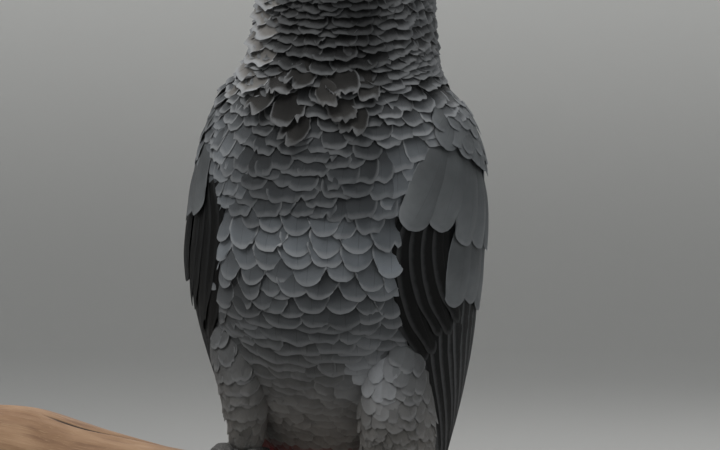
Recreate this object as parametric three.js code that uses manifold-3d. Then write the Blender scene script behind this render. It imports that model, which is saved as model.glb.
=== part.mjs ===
// A grey parrot gripping a short length of branch, held up on a plain display stand.
// Millimetres, +Z up. The bird faces -Y, so +X is its left side. The origin is on the floor, under the
// middle of the whole model.
import * as THREE from "three";
import { mergeVertices } from "three/addons/utils/BufferGeometryUtils.js";
import Module from "manifold-3d";

const wasm = await Module();
wasm.setup();

// Driving dimensions. The bird's own heights are measured from the top of the branch under its middle.
const GAP = 0.4; // clearance between neighbouring solids
const PERCH = { top: 122, radius: 12, left: 104, right: 138, slope: 10.5, grain: 0.7 };
const BASE = { radius: 86, thickness: 12, edge: 2 };
const ROD = { radius: 4, offset: 52 };
const LEAN = 4.5; // degrees that the body leans to its left, down the slope of the branch
const SWAY = { from: 60, to: 130, by: 4 }; // between these heights the body bends further to its left
const FEET_APART = 54;
const NECK_CUT = { height: 177, middle: -20, tilt: -18 }; // under the head, degrees up towards the nape
const TRUNK_CUT = { height: 143, middle: -15, tilt: -20 }; // under the neck
const EYE = { radius: 5.4, side: 17.6, y: -36, z: 203.5 };

// Head, neck and trunk in one: height, middle in y, half width, half depth of each level section.
const BODY = [
  [231.5, -20, 0, 0],
  [230.4, -19.8, 9.5, 11],
  [226.5, -20.6, 16, 18.4],
  [220, -21.8, 20.6, 23.6],
  [211, -22.1, 23.6, 27.3],
  [201, -21.7, 25.8, 28.5],
  [190, -21, 28.2, 28.6],
  [180, -20, 30, 29],
  [168, -18.5, 29.8, 30.2],
  [155, -16.5, 30.4, 32],
  [145, -15, 31.8, 34.5],
  [134, -13, 36, 38.5],
  [122, -11, 41, 42.5],
  [108, -8.5, 44.2, 45.5],
  [92, -5.5, 45.4, 46.6],
  [74, -1.5, 45, 46],
  [56, 4.5, 42.6, 43],
  [40, 11.5, 38.6, 38],
  [24, 20.5, 32.5, 31],
  [9, 30, 25, 23],
  [-4, 38, 17, 15],
  [-12, 43.5, 9, 8],
  [-15, 46, 0, 0],
];

// A folded wing: height, middle in y, half width and half depth of the surface it lies on, the angles round
// the back where it begins and ends (0 is the middle of the back, 90 the side), its thickness, and how far
// its edges are drawn in to the trunk.
const WING = [
  [137, -14, 37.5, 37, 72, 88, 3, 1],
  [129, -13, 43.5, 42, 52, 112, 5, 1],
  [114, -10, 49, 47, 40, 124, 7, 1],
  [97, -6.5, 52, 50, 32, 127, 8, 1],
  [78, -2.5, 52.8, 51, 25, 126, 8, 1],
  [58, 3.5, 51.6, 50.5, 18, 121, 7, 0.95],
  [40, 10.5, 48.6, 48, 12, 112, 5.5, 0.6],
  [23, 18.5, 44.6, 44, 9, 102, 4, 0.25],
  [5, 28, 39, 38.5, 7, 91, 3.2, 0],
  [-15, 40, 31.5, 31, 7, 81, 2.6, 0],
  [-36, 52, 23.5, 22.5, 9, 74, 2.1, 0],
  [-56, 62, 16, 15, 16, 68, 1.7, 0],
  [-72, 70, 10, 8.5, 30, 60, 1.4, 0],
];
const WING_EDGE = 1.5; // a wing's edge above the trunk it lies on

// A thigh: points down its middle as x from the foot, y and z, and half its width and depth on the way. The
// coat hangs looser over the left one.
const THIGH = {
  left: {
    path: [[0, 2, 58], [0, -3, 44], [1, -3, 28], [2, 0, 11]],
    girth: [[10, 14], [15.5, 20], [15.4, 18], [13.6, 13], [11, 9.6]],
  },
  right: {
    path: [[0, 2, 58], [1, -3, 44], [2, -3, 28], [1, 0, 11]],
    girth: [[10, 14], [14.8, 20], [12, 17], [9, 11.5], [7.4, 8.4]],
  },
};

// The closed tail: from its root to its tip, half width, thickness, and how much its sides curve down.
const TAIL = { root: [44, 2], tip: [80, -82], width: [15, 26], thickness: [7, 2.2], arch: 6, rounding: 7 };

// The bill in side view, as y and z along its upper and lower edges, with the half width on the way.
const BILL_UPPER = {
  over: [
    [-38, 213.5], [-49, 212.5], [-60, 210.5], [-70, 204.5], [-75.5, 195], [-75.3, 185], [-70.8, 174.5],
  ],
  under: [
    [-38, 188.5], [-47, 188.5], [-55.5, 188], [-62.5, 187], [-67, 183.5], [-68.8, 179], [-70, 174.2],
  ],
  width: [10.6, 10.8, 10.2, 8.6, 6.4, 3.8, 0.8],
};
const BILL_LOWER = {
  over: [[-36, 188], [-46, 187.6], [-56, 187.2], [-63.6, 185]],
  under: [[-36, 171.6], [-46, 171.2], [-55, 173.4], [-62.4, 180]],
  width: [9.4, 9.8, 9, 5.4],
};

// One foot: two toes forward and two back. Each has its root's place across the foot, the way it points,
// its splay outwards, how far it reaches round the branch in degrees, and its half thickness.
const TOES = [
  { name: "inner_front", across: -4.4, way: -1, splay: -7, reach: 84, girth: 3.6 },
  { name: "outer_front", across: 4.4, way: -1, splay: 7, reach: 112, girth: 3.9 },
  { name: "inner_back", across: -4.4, way: 1, splay: -9, reach: 62, girth: 3.5 },
  { name: "outer_back", across: 4.4, way: 1, splay: 9, reach: 104, girth: 3.8 },
];
const CLAW = { start: -6, reach: 52, girth: 2.3, lift: 2.4 }; // start and reach in degrees past its toe

const HALF_SPACE = 500; // side of a block large enough to hold either half of the bird

const radians = THREE.MathUtils.degToRad;
const mix = THREE.MathUtils.lerp;
const sway = (height) => SWAY.by * THREE.MathUtils.smoothstep(height, SWAY.from, SWAY.to);

// A smooth function of 0 to 1 through rows of numbers, spaced by the distance from one row to the next.
function through(rows) {
  const at = [0];
  for (let i = 1; i < rows.length; i++) {
    at.push(at[i - 1] + Math.hypot(...rows[i].map((value, k) => value - rows[i - 1][k])));
  }
  const cubic = new THREE.CubicInterpolant(at, rows.flat(), rows[0].length);
  return (t) => Array.from(cubic.evaluate(t * at.at(-1)));
}

// Moves a sphere's vertices onto a stack of sections. section(t) runs from pole to pole and gives a ring's
// middle and the vectors from there to its side and its front. The two ends close to a point.
function loft(sides, rings, section, grow = 0) {
  const geometry = new THREE.SphereGeometry(1, sides, rings);
  const place = geometry.getAttribute("position");
  const point = new THREE.Vector3();
  for (let i = 0; i < place.count; i++) {
    point.fromBufferAttribute(place, i);
    const t = Math.acos(THREE.MathUtils.clamp(point.y, -1, 1)) / Math.PI;
    const turn = Math.atan2(point.z, point.x);
    const open = t > 1e-6 && t < 1 - 1e-6 ? 1 : 0;
    const { middle, side, front } = section(t);
    side.setLength(side.length() + grow).multiplyScalar(open * Math.cos(turn));
    front.setLength(front.length() + grow).multiplyScalar(open * Math.sin(turn));
    point.copy(middle).add(side).add(front);
    place.setXYZ(i, point.x, point.y, point.z);
  }
  return geometry;
}

// A rounded limb along a path in the plane x = 0. girth(t) gives its half thickness sideways and in plane.
function limb(path, girth, sides, rings, grow = 0) {
  return loft(
    sides,
    rings,
    (t) => {
      const along = (1 - Math.cos(Math.PI * t)) / 2;
      const round = Math.sqrt(Math.max(0, 1 - Math.abs(2 * along - 1) ** 10)) + 1e-3;
      const [across, deep] = girth(along);
      const ahead = path.getTangentAt(along);
      return {
        middle: path.getPointAt(along),
        side: new THREE.Vector3(across * round, 0, 0),
        front: new THREE.Vector3(0, ahead.z, -ahead.y).setLength(deep * round),
      };
    },
    grow,
  );
}

// Shifts each point of an upright shape to the bird's left by the body's sway at that height.
function swayed(geometry) {
  const place = geometry.getAttribute("position");
  for (let i = 0; i < place.count; i++) {
    place.setX(i, place.getX(i) + sway(place.getZ(i)));
  }
  return geometry;
}

// Bends a flat box by map(u, v, w), each 0 to 1: along it, across it and through its thickness.
function bend(along, across, map) {
  const geometry = new THREE.BoxGeometry(1, 1, 1, across, along, 1);
  const place = geometry.getAttribute("position");
  for (let i = 0; i < place.count; i++) {
    place.setXYZ(i, ...map(0.5 - place.getY(i), place.getX(i) + 0.5, place.getZ(i) + 0.5));
  }
  return geometry;
}

// A closed geometry as a manifold-3d solid, with its faces turned outwards.
function solid(geometry) {
  const bare = geometry.clone();
  bare.deleteAttribute("normal");
  bare.deleteAttribute("uv");
  const merged = mergeVertices(bare, 1e-4);
  const vertProperties = new Float32Array(merged.getAttribute("position").array);
  const triVerts = new Uint32Array(merged.index.array);
  const made = new wasm.Manifold(new wasm.Mesh({ numProp: 3, vertProperties, triVerts }));
  if (made.volume() > 0) return made;
  for (let i = 0; i < triVerts.length; i += 3) {
    [triVerts[i], triVerts[i + 1]] = [triVerts[i + 1], triVerts[i]];
  }
  return new wasm.Manifold(new wasm.Mesh({ numProp: 3, vertProperties, triVerts }));
}

// The largest body of a solid: a cut can leave crumbs.
function whole(cut) {
  return cut.decompose().reduce((a, b) => (a.volume() > b.volume() ? a : b));
}

// A named mesh of a solid, in its own material.
function meshOf(name, shape, material) {
  const { numProp, numVert, vertProperties, triVerts } = whole(shape).getMesh();
  const place = new Float32Array(numVert * 3);
  for (let i = 0; i < numVert; i++) {
    place.set(vertProperties.subarray(i * numProp, i * numProp + 3), i * 3);
  }
  const geometry = new THREE.BufferGeometry();
  geometry.setAttribute("position", new THREE.BufferAttribute(place, 3));
  geometry.setIndex(new THREE.BufferAttribute(triVerts, 1));
  geometry.computeVertexNormals();
  const mesh = new THREE.Mesh(geometry, material);
  mesh.name = name;
  return mesh;
}

const finish = (color, roughness, metalness = 0) =>
  new THREE.MeshStandardMaterial({ color, roughness, metalness });
const MATERIALS = {
  head: finish(0x55585a, 0.9),
  neck: finish(0x3f4143, 0.9),
  trunk: finish(0x505356, 0.9),
  wing: finish(0x3c3f42, 0.8),
  tail: finish(0xa3161a, 0.8),
  thigh: finish(0x5b5957, 0.9),
  foot: finish(0x5a5856, 0.7),
  claw: finish(0x17171a, 0.4),
  bill: finish(0x151517, 0.3),
  eye: finish(0xd9d3a2, 0.1),
  bark: finish(0x9c6f50, 0.85),
  stand: finish(0x2b2b2c, 0.5),
  rod: finish(0x8d8f92, 0.35, 1),
};

// A half space above or below a tilted cut through the body, leaving half the gap on its side of it.
function keep({ height, middle, tilt }, side) {
  const box = new THREE.BoxGeometry(HALF_SPACE, HALF_SPACE, HALF_SPACE);
  box.translate(0, 0, (side * (HALF_SPACE + GAP)) / 2);
  box.rotateX(radians(-tilt));
  box.translate(0, middle, height);
  return solid(box);
}

const bodyAt = through(BODY);
function body(grow = 0) {
  const section = (t) => {
    const [z, y, width, depth] = bodyAt(t);
    return {
      middle: new THREE.Vector3(0, y, z),
      side: new THREE.Vector3(width + 1e-3, 0, 0),
      front: new THREE.Vector3(0, depth + 1e-3, 0),
    };
  };
  return solid(swayed(loft(24, 30, section, grow)));
}

// The trunk's surface at a height: its middle in y, half width and half depth.
function trunkAt(height) {
  const rows = [...BODY].reverse();
  const cubic = new THREE.CubicInterpolant(
    rows.map((row) => row[0]),
    rows.flatMap((row) => row.slice(1)),
    3,
  );
  return Array.from(cubic.evaluate(height));
}

// A folded wing, on the bird's left for side 1 and its right for side -1.
const wingAt = through(WING);
function wing(side, grow = 0) {
  const folded = bend(20, 7, (u, v, w) => {
    const [z, middle, width, depth, from, to, thickness, hug] = wingAt(u);
    const [trunkMiddle, trunkWidth, trunkDepth] = trunkAt(z);
    const turn = radians(mix(from - grow, to + grow, v));
    const drawn = hug * Math.abs(2 * v - 1) ** 2.5;
    const inset = (1 - w) * thickness * (0.35 + 0.65 * Math.sin(Math.PI * v)) - grow * (2 * w - 1);
    const across = mix(width, trunkWidth + WING_EDGE, drawn) - inset;
    const back = mix(depth, trunkDepth + WING_EDGE, drawn) - inset;
    const y = mix(middle, trunkMiddle, drawn);
    return [side * across * Math.sin(turn), y + back * Math.cos(turn), z];
  });
  return solid(swayed(folded));
}

// The tail, a thin slab whose sides curve down and whose end is rounded.
function tail() {
  const { root, tip, width, thickness, arch, rounding } = TAIL;
  const along = new THREE.Vector2(tip[0] - root[0], tip[1] - root[1]);
  const out = new THREE.Vector2(-along.y, along.x).normalize(); // towards the back
  return solid(
    bend(7, 8, (u, v, w) => {
      const across = 2 * v - 1;
      const far = u * (1 - (rounding / along.length()) * across ** 2);
      const up = (w - 0.5) * mix(...thickness, u) - arch * across ** 2 * mix(0.6, 1, u);
      const x = across * mix(...width, Math.sqrt(u));
      return [x, root[0] + along.x * far + out.x * up, root[1] + along.y * far + out.y * up];
    }),
  );
}

// One half of the bill, as a loft between its two edges.
function billHalf({ over, under, width }, grow = 0) {
  const edge = (points) => new THREE.SplineCurve(points.map((p) => new THREE.Vector2(...p)));
  const [upper, lower] = [edge(over), edge(under)];
  const widths = edge(width.map((value, i) => [i, value]));
  const section = (t) => {
    const a = upper.getPoint(t);
    const b = lower.getPoint(t);
    return {
      middle: new THREE.Vector3(0, (a.x + b.x) / 2, (a.y + b.y) / 2),
      side: new THREE.Vector3(widths.getPoint(t).y, 0, 0),
      front: new THREE.Vector3(0, (a.x - b.x) / 2, (a.y - b.y) / 2),
    };
  };
  return solid(swayed(loft(14, 12, section, grow)));
}

const eyeball = (side, grow = 0) => {
  const ball = new THREE.IcosahedronGeometry(EYE.radius + grow, 2);
  return solid(swayed(ball.translate(side * EYE.side, EYE.y, EYE.z)));
};

// The feathered thigh, from inside the trunk's lower side down to the shank.
function thigh(name, side, grow = 0) {
  const path = new THREE.CatmullRomCurve3(THIGH[name].path.map((point) => new THREE.Vector3(...point)));
  const foot = (side * FEET_APART) / 2;
  return solid(limb(path, through(THIGH[name].girth), 12, 8, grow).translate(foot, 0, 0));
}

// The short bare shank with the pad of the foot, standing on the branch.
function shank(grow = 0) {
  const path = new THREE.CatmullRomCurve3([
    new THREE.Vector3(0, 0, 3),
    new THREE.Vector3(0, 0.5, 9),
    new THREE.Vector3(0, 2, 18),
    new THREE.Vector3(0, 3, 26),
  ]);
  const pad = new THREE.SphereGeometry(1, 10, 6);
  pad.scale(8 + grow, 6 + grow, 4.6 + grow).translate(0, 0, 4);
  return solid(limb(path, () => [4.2, 4.6], 10, 4, grow)).add(solid(pad));
}

// A curve round the branch, from one angle to another, at a height above the bark that follows lift(t).
function roundPerch(way, from, to, lift) {
  const points = Array.from({ length: 7 }, (_, i) => {
    const t = i / 6;
    const turn = radians(mix(from, to, t));
    const reach = PERCH.radius + lift(t);
    return new THREE.Vector3(0, way * reach * Math.sin(turn), reach * Math.cos(turn) - PERCH.radius);
  });
  return new THREE.CatmullRomCurve3(points);
}

function toe({ across, way, splay, reach, girth }, grow = 0) {
  const knuckles = (t) => 1 + 0.08 * Math.sin(4.2 * Math.PI * t - 0.6) - 0.16 * t;
  const path = roundPerch(way, 14, reach, (t) => girth * knuckles(t));
  const made = limb(path, (t) => [girth * knuckles(t), girth * knuckles(t)], 8, 7, grow);
  return solid(made.rotateZ(radians(-way * splay)).translate(across, 0, 0));
}

function claw({ across, way, splay, reach, girth }) {
  const slim = (t) => CLAW.girth * (girth / 3.9) * Math.sqrt(1 - 0.97 * t);
  const lift = (t) => girth * 0.75 * (1 - t) + CLAW.lift * Math.sin(Math.PI * t) + 0.7;
  const path = roundPerch(way, reach + CLAW.start, reach + CLAW.start + CLAW.reach, lift);
  const made = limb(path, (t) => [slim(t) * 0.8, slim(t)], 6, 6);
  return solid(made.rotateZ(radians(-way * splay)).translate(across, 0, 0));
}

// A length of bark-covered branch along x, its upper side at z = 0 under the bird.
function branch(grow = 0) {
  const length = PERCH.left + PERCH.right;
  const log = new THREE.CylinderGeometry(PERCH.radius, PERCH.radius, length, 14, 18);
  log.rotateZ(Math.PI / 2).translate((PERCH.left - PERCH.right) / 2, 0, 0);
  const place = log.getAttribute("position");
  for (let i = 0; i < place.count; i++) {
    const [x, y, z] = [place.getX(i), place.getY(i), place.getZ(i)];
    const turn = Math.atan2(z, y);
    const lumps = Math.sin(x / 13 + 2 * turn) + Math.sin(x / 29 - turn);
    const swell = 1.8 * Math.exp(-(((x + 108) / 16) ** 2)); // an old knot near the bird's right end
    const scale = 1 + (PERCH.grain * lumps + swell + grow) / PERCH.radius;
    place.setXYZ(i, x, y * scale, z * scale - PERCH.radius);
  }
  return solid(log);
}

// The same solid as seen from another group's frame.
const seenFrom = (shape, from, to) => {
  const matrix = new THREE.Matrix4().copy(to.matrixWorld).invert().multiply(from.matrixWorld);
  return shape.transform(matrix.elements);
};

// Frames: the branch slopes, and the bird leans on it.
const model = new THREE.Group();
const perch = new THREE.Group();
perch.position.z = PERCH.top;
perch.rotation.y = radians(PERCH.slope);
const bird = new THREE.Group();
bird.position.z = PERCH.top;
bird.rotation.y = radians(LEAN);
model.add(perch, bird);
model.updateMatrixWorld(true);

const SIDES = [["left", 1], ["right", -1]];
const log = branch();
const logRoom = branch(GAP);
const bodyRoom = body(GAP);
perch.add(meshOf("perch", log, MATERIALS.bark));

// Feet, in the branch's frame.
const shankRoom = {};
for (const [name, side] of SIDES) {
  const foot = new THREE.Group();
  foot.position.x = (side * FEET_APART) / 2;
  foot.scale.x = side;
  perch.add(foot);
  model.updateMatrixWorld(true);
  const room = seenFrom(logRoom, perch, foot);
  shankRoom[name] = seenFrom(shank(GAP), foot, bird);
  const made = shank().subtract(room).subtract(seenFrom(bodyRoom, bird, foot));
  foot.add(meshOf(`shank_${name}`, made, MATERIALS.foot));
  for (const each of TOES) {
    const digit = toe(each).subtract(room).subtract(shank(GAP));
    foot.add(meshOf(`toe_${name}_${each.name}`, digit, MATERIALS.foot));
    const nail = claw(each).subtract(room).subtract(toe(each, GAP));
    foot.add(meshOf(`claw_${name}_${each.name}`, nail, MATERIALS.claw));
  }
}

// The bird's own body, in its leaning frame.
const flesh = body();
const logInBird = seenFrom(logRoom, perch, bird);
const eyeRoom = eyeball(1, GAP).add(eyeball(-1, GAP));
const upperBill = billHalf(BILL_UPPER).subtract(bodyRoom);
const lowerBill = billHalf(BILL_LOWER).subtract(bodyRoom).subtract(billHalf(BILL_UPPER, GAP));
bird.add(
  meshOf("head", flesh.intersect(keep(NECK_CUT, 1)).subtract(eyeRoom), MATERIALS.head),
  meshOf("neck", flesh.intersect(keep(NECK_CUT, -1)).intersect(keep(TRUNK_CUT, 1)), MATERIALS.neck),
  meshOf("trunk", flesh.intersect(keep(TRUNK_CUT, -1)), MATERIALS.trunk),
  meshOf("bill_upper", upperBill, MATERIALS.bill),
  meshOf("bill_lower", lowerBill, MATERIALS.bill),
);
let rear = tail().subtract(bodyRoom);
for (const [name, side] of SIDES) {
  bird.add(meshOf(`eye_${name}`, eyeball(side), MATERIALS.eye));
  const folded = wing(side).subtract(bodyRoom);
  const leg = thigh(name, side).subtract(bodyRoom).subtract(wing(side, GAP)).subtract(shankRoom[name]);
  bird.add(meshOf(`wing_${name}`, folded, MATERIALS.wing));
  bird.add(meshOf(`thigh_${name}`, leg.subtract(logInBird), MATERIALS.thigh));
  rear = rear.subtract(wing(side, GAP));
}
bird.add(meshOf("tail", rear, MATERIALS.tail));

// The display stand: a turned base with a bevelled edge, and two rods up to the branch.
const { radius: rim, thickness, edge } = BASE;
const profile = [[0, 0], [rim, 0], [rim, thickness - edge], [rim - edge, thickness], [0, thickness]];
const base = new THREE.LatheGeometry(profile.map((point) => new THREE.Vector2(...point)), 40);
model.add(meshOf("stand_base", solid(base.rotateX(Math.PI / 2)), MATERIALS.stand));
for (const [name, side] of SIDES) {
  const height = PERCH.top - thickness - GAP;
  const rod = new THREE.CylinderGeometry(ROD.radius, ROD.radius, height, 16);
  rod.rotateX(Math.PI / 2).translate(side * ROD.offset, 0, thickness + GAP + height / 2);
  const post = solid(rod).subtract(seenFrom(logRoom, perch, model));
  model.add(meshOf(`stand_rod_${name}`, post, MATERIALS.rod));
}

// Stand the whole model over the middle of its own outline.
const middle = new THREE.Box3().setFromObject(model, true).getCenter(new THREE.Vector3());
model.position.set(-middle.x, -middle.y, 0);

export default model;
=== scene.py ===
import math

import bmesh
import bpy
import numpy as np
from mathutils import Matrix, Vector
from mathutils.bvhtree import BVHTree


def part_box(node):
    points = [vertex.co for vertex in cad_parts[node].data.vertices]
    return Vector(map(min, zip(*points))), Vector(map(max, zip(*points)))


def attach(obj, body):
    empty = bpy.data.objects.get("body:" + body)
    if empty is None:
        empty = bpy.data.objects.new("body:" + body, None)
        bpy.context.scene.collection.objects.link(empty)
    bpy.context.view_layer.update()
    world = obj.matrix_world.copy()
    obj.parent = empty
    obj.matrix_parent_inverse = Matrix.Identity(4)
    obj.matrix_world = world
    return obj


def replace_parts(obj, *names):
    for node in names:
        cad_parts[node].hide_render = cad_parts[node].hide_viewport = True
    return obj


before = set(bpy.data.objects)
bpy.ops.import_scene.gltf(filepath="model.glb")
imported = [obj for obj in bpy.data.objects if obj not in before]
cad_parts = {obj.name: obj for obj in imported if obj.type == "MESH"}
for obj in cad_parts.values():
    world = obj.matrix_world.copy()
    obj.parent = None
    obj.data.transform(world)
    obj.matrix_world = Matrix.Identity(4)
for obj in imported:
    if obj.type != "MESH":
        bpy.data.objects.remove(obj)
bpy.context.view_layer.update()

# ----
# Frames. The bird is worked out in millimetres in its own upright frame: +Z up, facing -Y, its left at +X,
# and height 0 at the top of the branch. The stand's base gives that frame's place, the pose its lean.
MM = 0.001
PERCH_TOP = 122 * MM
LEAN = math.radians(4.5)
SLOPE = math.radians(10.5)
base_low, base_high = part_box("stand_base")
STAND = Matrix.Translation(((base_low.x + base_high.x) / 2, (base_low.y + base_high.y) / 2, 0))
def on_branch(turn):
    """A frame in millimetres on top of the branch, tilted to the bird's left."""
    tilt = Matrix.Rotation(turn, 4, "Y")
    return STAND @ Matrix.Translation((0, 0, PERCH_TOP)) @ tilt @ Matrix.Scale(MM, 4)


LEANING, SLOPING = on_branch(LEAN), on_branch(SLOPE)
SWAY = {"from": 60, "to": 130, "by": 4}  # between these heights the body bends further to its left

# The middle line of the body and of the folded wings behind it: height, distance back.
AXIS = [
    (231, -20), (201, -21.7), (168, -18.5), (137, -14), (114, -10), (97, -6.5), (78, -2.5), (58, 3.5),
    (40, 10.5), (23, 18.5), (5, 28), (-15, 40), (-36, 52), (-56, 62), (-76, 72),
]
HEAD_MIDDLE = 203  # height where the dome of the head begins
FACE_Z = 201  # height of the middle of the bare face and of the upper bill's root
# half the width and half the height of each bill half's root
BILL_ROOT, CHIN_ROOT = (10.6, 12.2), (8.6, 7.2)
BILL_BASE = 197  # height of the middle of the bill's root
EYE = {"side": 17.6, "y": -36, "z": 203.5, "radius": 5.4}
EYE_MIDDLE = np.array([EYE["side"], EYE["y"], EYE["z"]])
SIDES = (("left", 1), ("right", -1))
WING_TOP = 137.0  # height of a folded wing's upper end

rng = np.random.default_rng(7)


def follow(x, pairs):
    """Values along a line through pairs of place and value."""
    places, values = zip(*pairs)
    return np.interp(x, places, values)


def axis_y(z):
    return follow(z, AXIS[::-1])


def around(count):
    """Angles once round, evenly spaced."""
    return np.arange(count) * math.tau / count


def smoothstep(low, high, x):
    t = np.clip((np.asarray(x, float) - low) / (high - low), 0, 1)
    return t * t * (3 - 2 * t)


def unit(v):
    return v / np.maximum(np.linalg.norm(v, axis=-1, keepdims=True), 1e-9)


def mix(a, b, t):
    return a + (b - a) * t


def through(points, t):
    """A smooth curve through points, from 0 at the first to 1 at the last."""
    p = np.asarray(points, float)
    p = np.concatenate([[2 * p[0] - p[1]], p, [2 * p[-1] - p[-2]]])
    x = np.clip(t, 0, 1) * (len(p) - 3)
    i = np.minimum(x.astype(int), len(p) - 4)
    f = (x - i)[..., None]
    a, b, c, d = p[i], p[i + 1], p[i + 2], p[i + 3]
    return 0.5 * (2 * b + (c - a) * f + (2 * a - 5 * b + 4 * c - d) * f**2 + (3 * b - 3 * c + d - a) * f**3)


def ripples(*angles, seed, count=5, low=1.0, high=3.0):
    """A sum of soft waves over the given angles, about -1 to 1: a smooth unevenness."""
    draw = np.random.default_rng(seed)
    total = 0
    for _ in range(count):
        phase = draw.uniform(0, math.tau)
        for angle in angles:
            phase = phase + angle * draw.uniform(low, high) * draw.choice([-1, 1])
        total = total + np.sin(phase)
    return total / count ** 0.5


class Frame:
    """A frame in millimetres. Its points are worked out upright and even, then bent by a sway and placed."""

    def __init__(self, matrix, sway):
        self.matrix, self.inverse, self.sway = np.array(matrix), np.array(matrix.inverted()), sway

    def bend(self, z):
        move = self.sway * smoothstep(SWAY["from"], SWAY["to"], z)
        return np.stack([move, 0 * z, 0 * z], -1)

    def out(self, points):
        """To the model's own frame, in metres."""
        return (points + self.bend(points[..., 2])) @ self.matrix[:3, :3].T + self.matrix[:3, 3]

    def back(self, points):
        points = points @ self.inverse[:3, :3].T + self.inverse[:3, 3]
        return points - self.bend(points[..., 2])

    def turn_back(self, ways):
        return unit(ways @ self.inverse[:3, :3].T)


BIRD, BRANCH = Frame(LEANING, SWAY["by"]), Frame(SLOPING, 0)
BASE = Frame(STAND @ Matrix.Scale(MM, 4), 0)


def tree_of(*names):
    """CAD nodes as one search tree, in the bird's frame."""
    verts, polys = [], []
    for name in names:
        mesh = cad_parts[name].data
        co = np.zeros(len(mesh.vertices) * 3, np.float32)
        mesh.vertices.foreach_get("co", co)
        start = len(verts)
        verts.extend(BIRD.back(co.reshape(-1, 3).astype(float)).tolist())
        polys.extend([start + i for i in p.vertices] for p in mesh.polygons)
    return BVHTree.FromPolygons(verts, polys)


# ----
# Surfaces as grids of points. Rows run from head to tail and columns across or once round.
def soften(grid, passes, axis, closed):
    for _ in range(passes):
        if closed:
            grid = (np.roll(grid, 1, axis) + 2 * grid + np.roll(grid, -1, axis)) / 4
        else:
            first, last = np.take(grid, [0], axis), np.take(grid, [-1], axis)
            wide = np.concatenate([first, grid, last], axis)
            n = grid.shape[axis]
            lower, upper = np.take(wide, range(n), axis), np.take(wide, range(2, n + 2), axis)
            grid = (lower + 2 * grid + upper) / 4
    return grid


class Surface:
    """A sheet through a grid of points. A place on it is a row and a column, both fractional."""

    def __init__(self, points, closed, outward):
        self.points, self.closed = points, closed
        self.rows, self.columns = points.shape[:2]
        self.along = np.gradient(points, axis=0)
        if closed:
            self.across = (np.roll(points, -1, 1) - np.roll(points, 1, 1)) / 2
        else:
            self.across = np.gradient(points, axis=1)
        normal = unit(np.cross(self.along, self.across))
        if np.sum(normal * outward(points)) < 0:
            normal = -normal
        self.normals = normal

    def read(self, grid, row, column):
        row = np.clip(row, 0, self.rows - 1.001)
        i = row.astype(int)
        if self.closed:
            column = column % self.columns
            j = column.astype(int) % self.columns
            k = (j + 1) % self.columns
        else:
            column = np.clip(column, 0, self.columns - 1.001)
            j = column.astype(int)
            k = j + 1
        f, g = (row - i)[..., None], (column - np.floor(column))[..., None]
        upper = grid[i, j] * (1 - g) + grid[i, k] * g
        lower = grid[i + 1, j] * (1 - g) + grid[i + 1, k] * g
        return upper * (1 - f) + lower * f

    def at(self, row, column):
        return self.read(self.points, row, column), unit(self.read(self.normals, row, column))

    def step(self, row, column, move):
        """The place reached from another by a short move along the sheet."""
        a, b = self.read(self.along, row, column), self.read(self.across, row, column)
        aa, ab, bb = (a * a).sum(-1), (a * b).sum(-1), (b * b).sum(-1)
        ma, mb = (a * move).sum(-1), (b * move).sum(-1)
        det = np.maximum(aa * bb - ab * ab, 1e-6)
        return row + (bb * ma - ab * mb) / det, column + (aa * mb - ab * ma) / det


def fill_gaps(values):
    """Carries known values along each row into the unknown ones."""
    out = values.copy()
    for line in out:
        known = np.flatnonzero(~np.isnan(line))
        if len(known):
            line[:] = np.interp(np.arange(len(line)), known, line[known])
    return out


OUTSIDE = 150  # mm from the axis, beyond all of the bird
ROUND = 240  # columns round the body, from the middle of the front towards the bird's left
BODY_END = 6  # height of the lowest level ring of the body
# rows of the body's grid over the head's dome, down its sides, and under its end
DOME, WALL, END = 60, HEAD_MIDDLE - BODY_END, 44


def over_wing(z, turn):
    """1 where feathers of breast or flank lie over a folded wing's front edge. turn is from the front."""
    return (smoothstep(90, 104, z) + smoothstep(54, 44, z)) * smoothstep(110, 85, np.degrees(turn))


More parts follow.
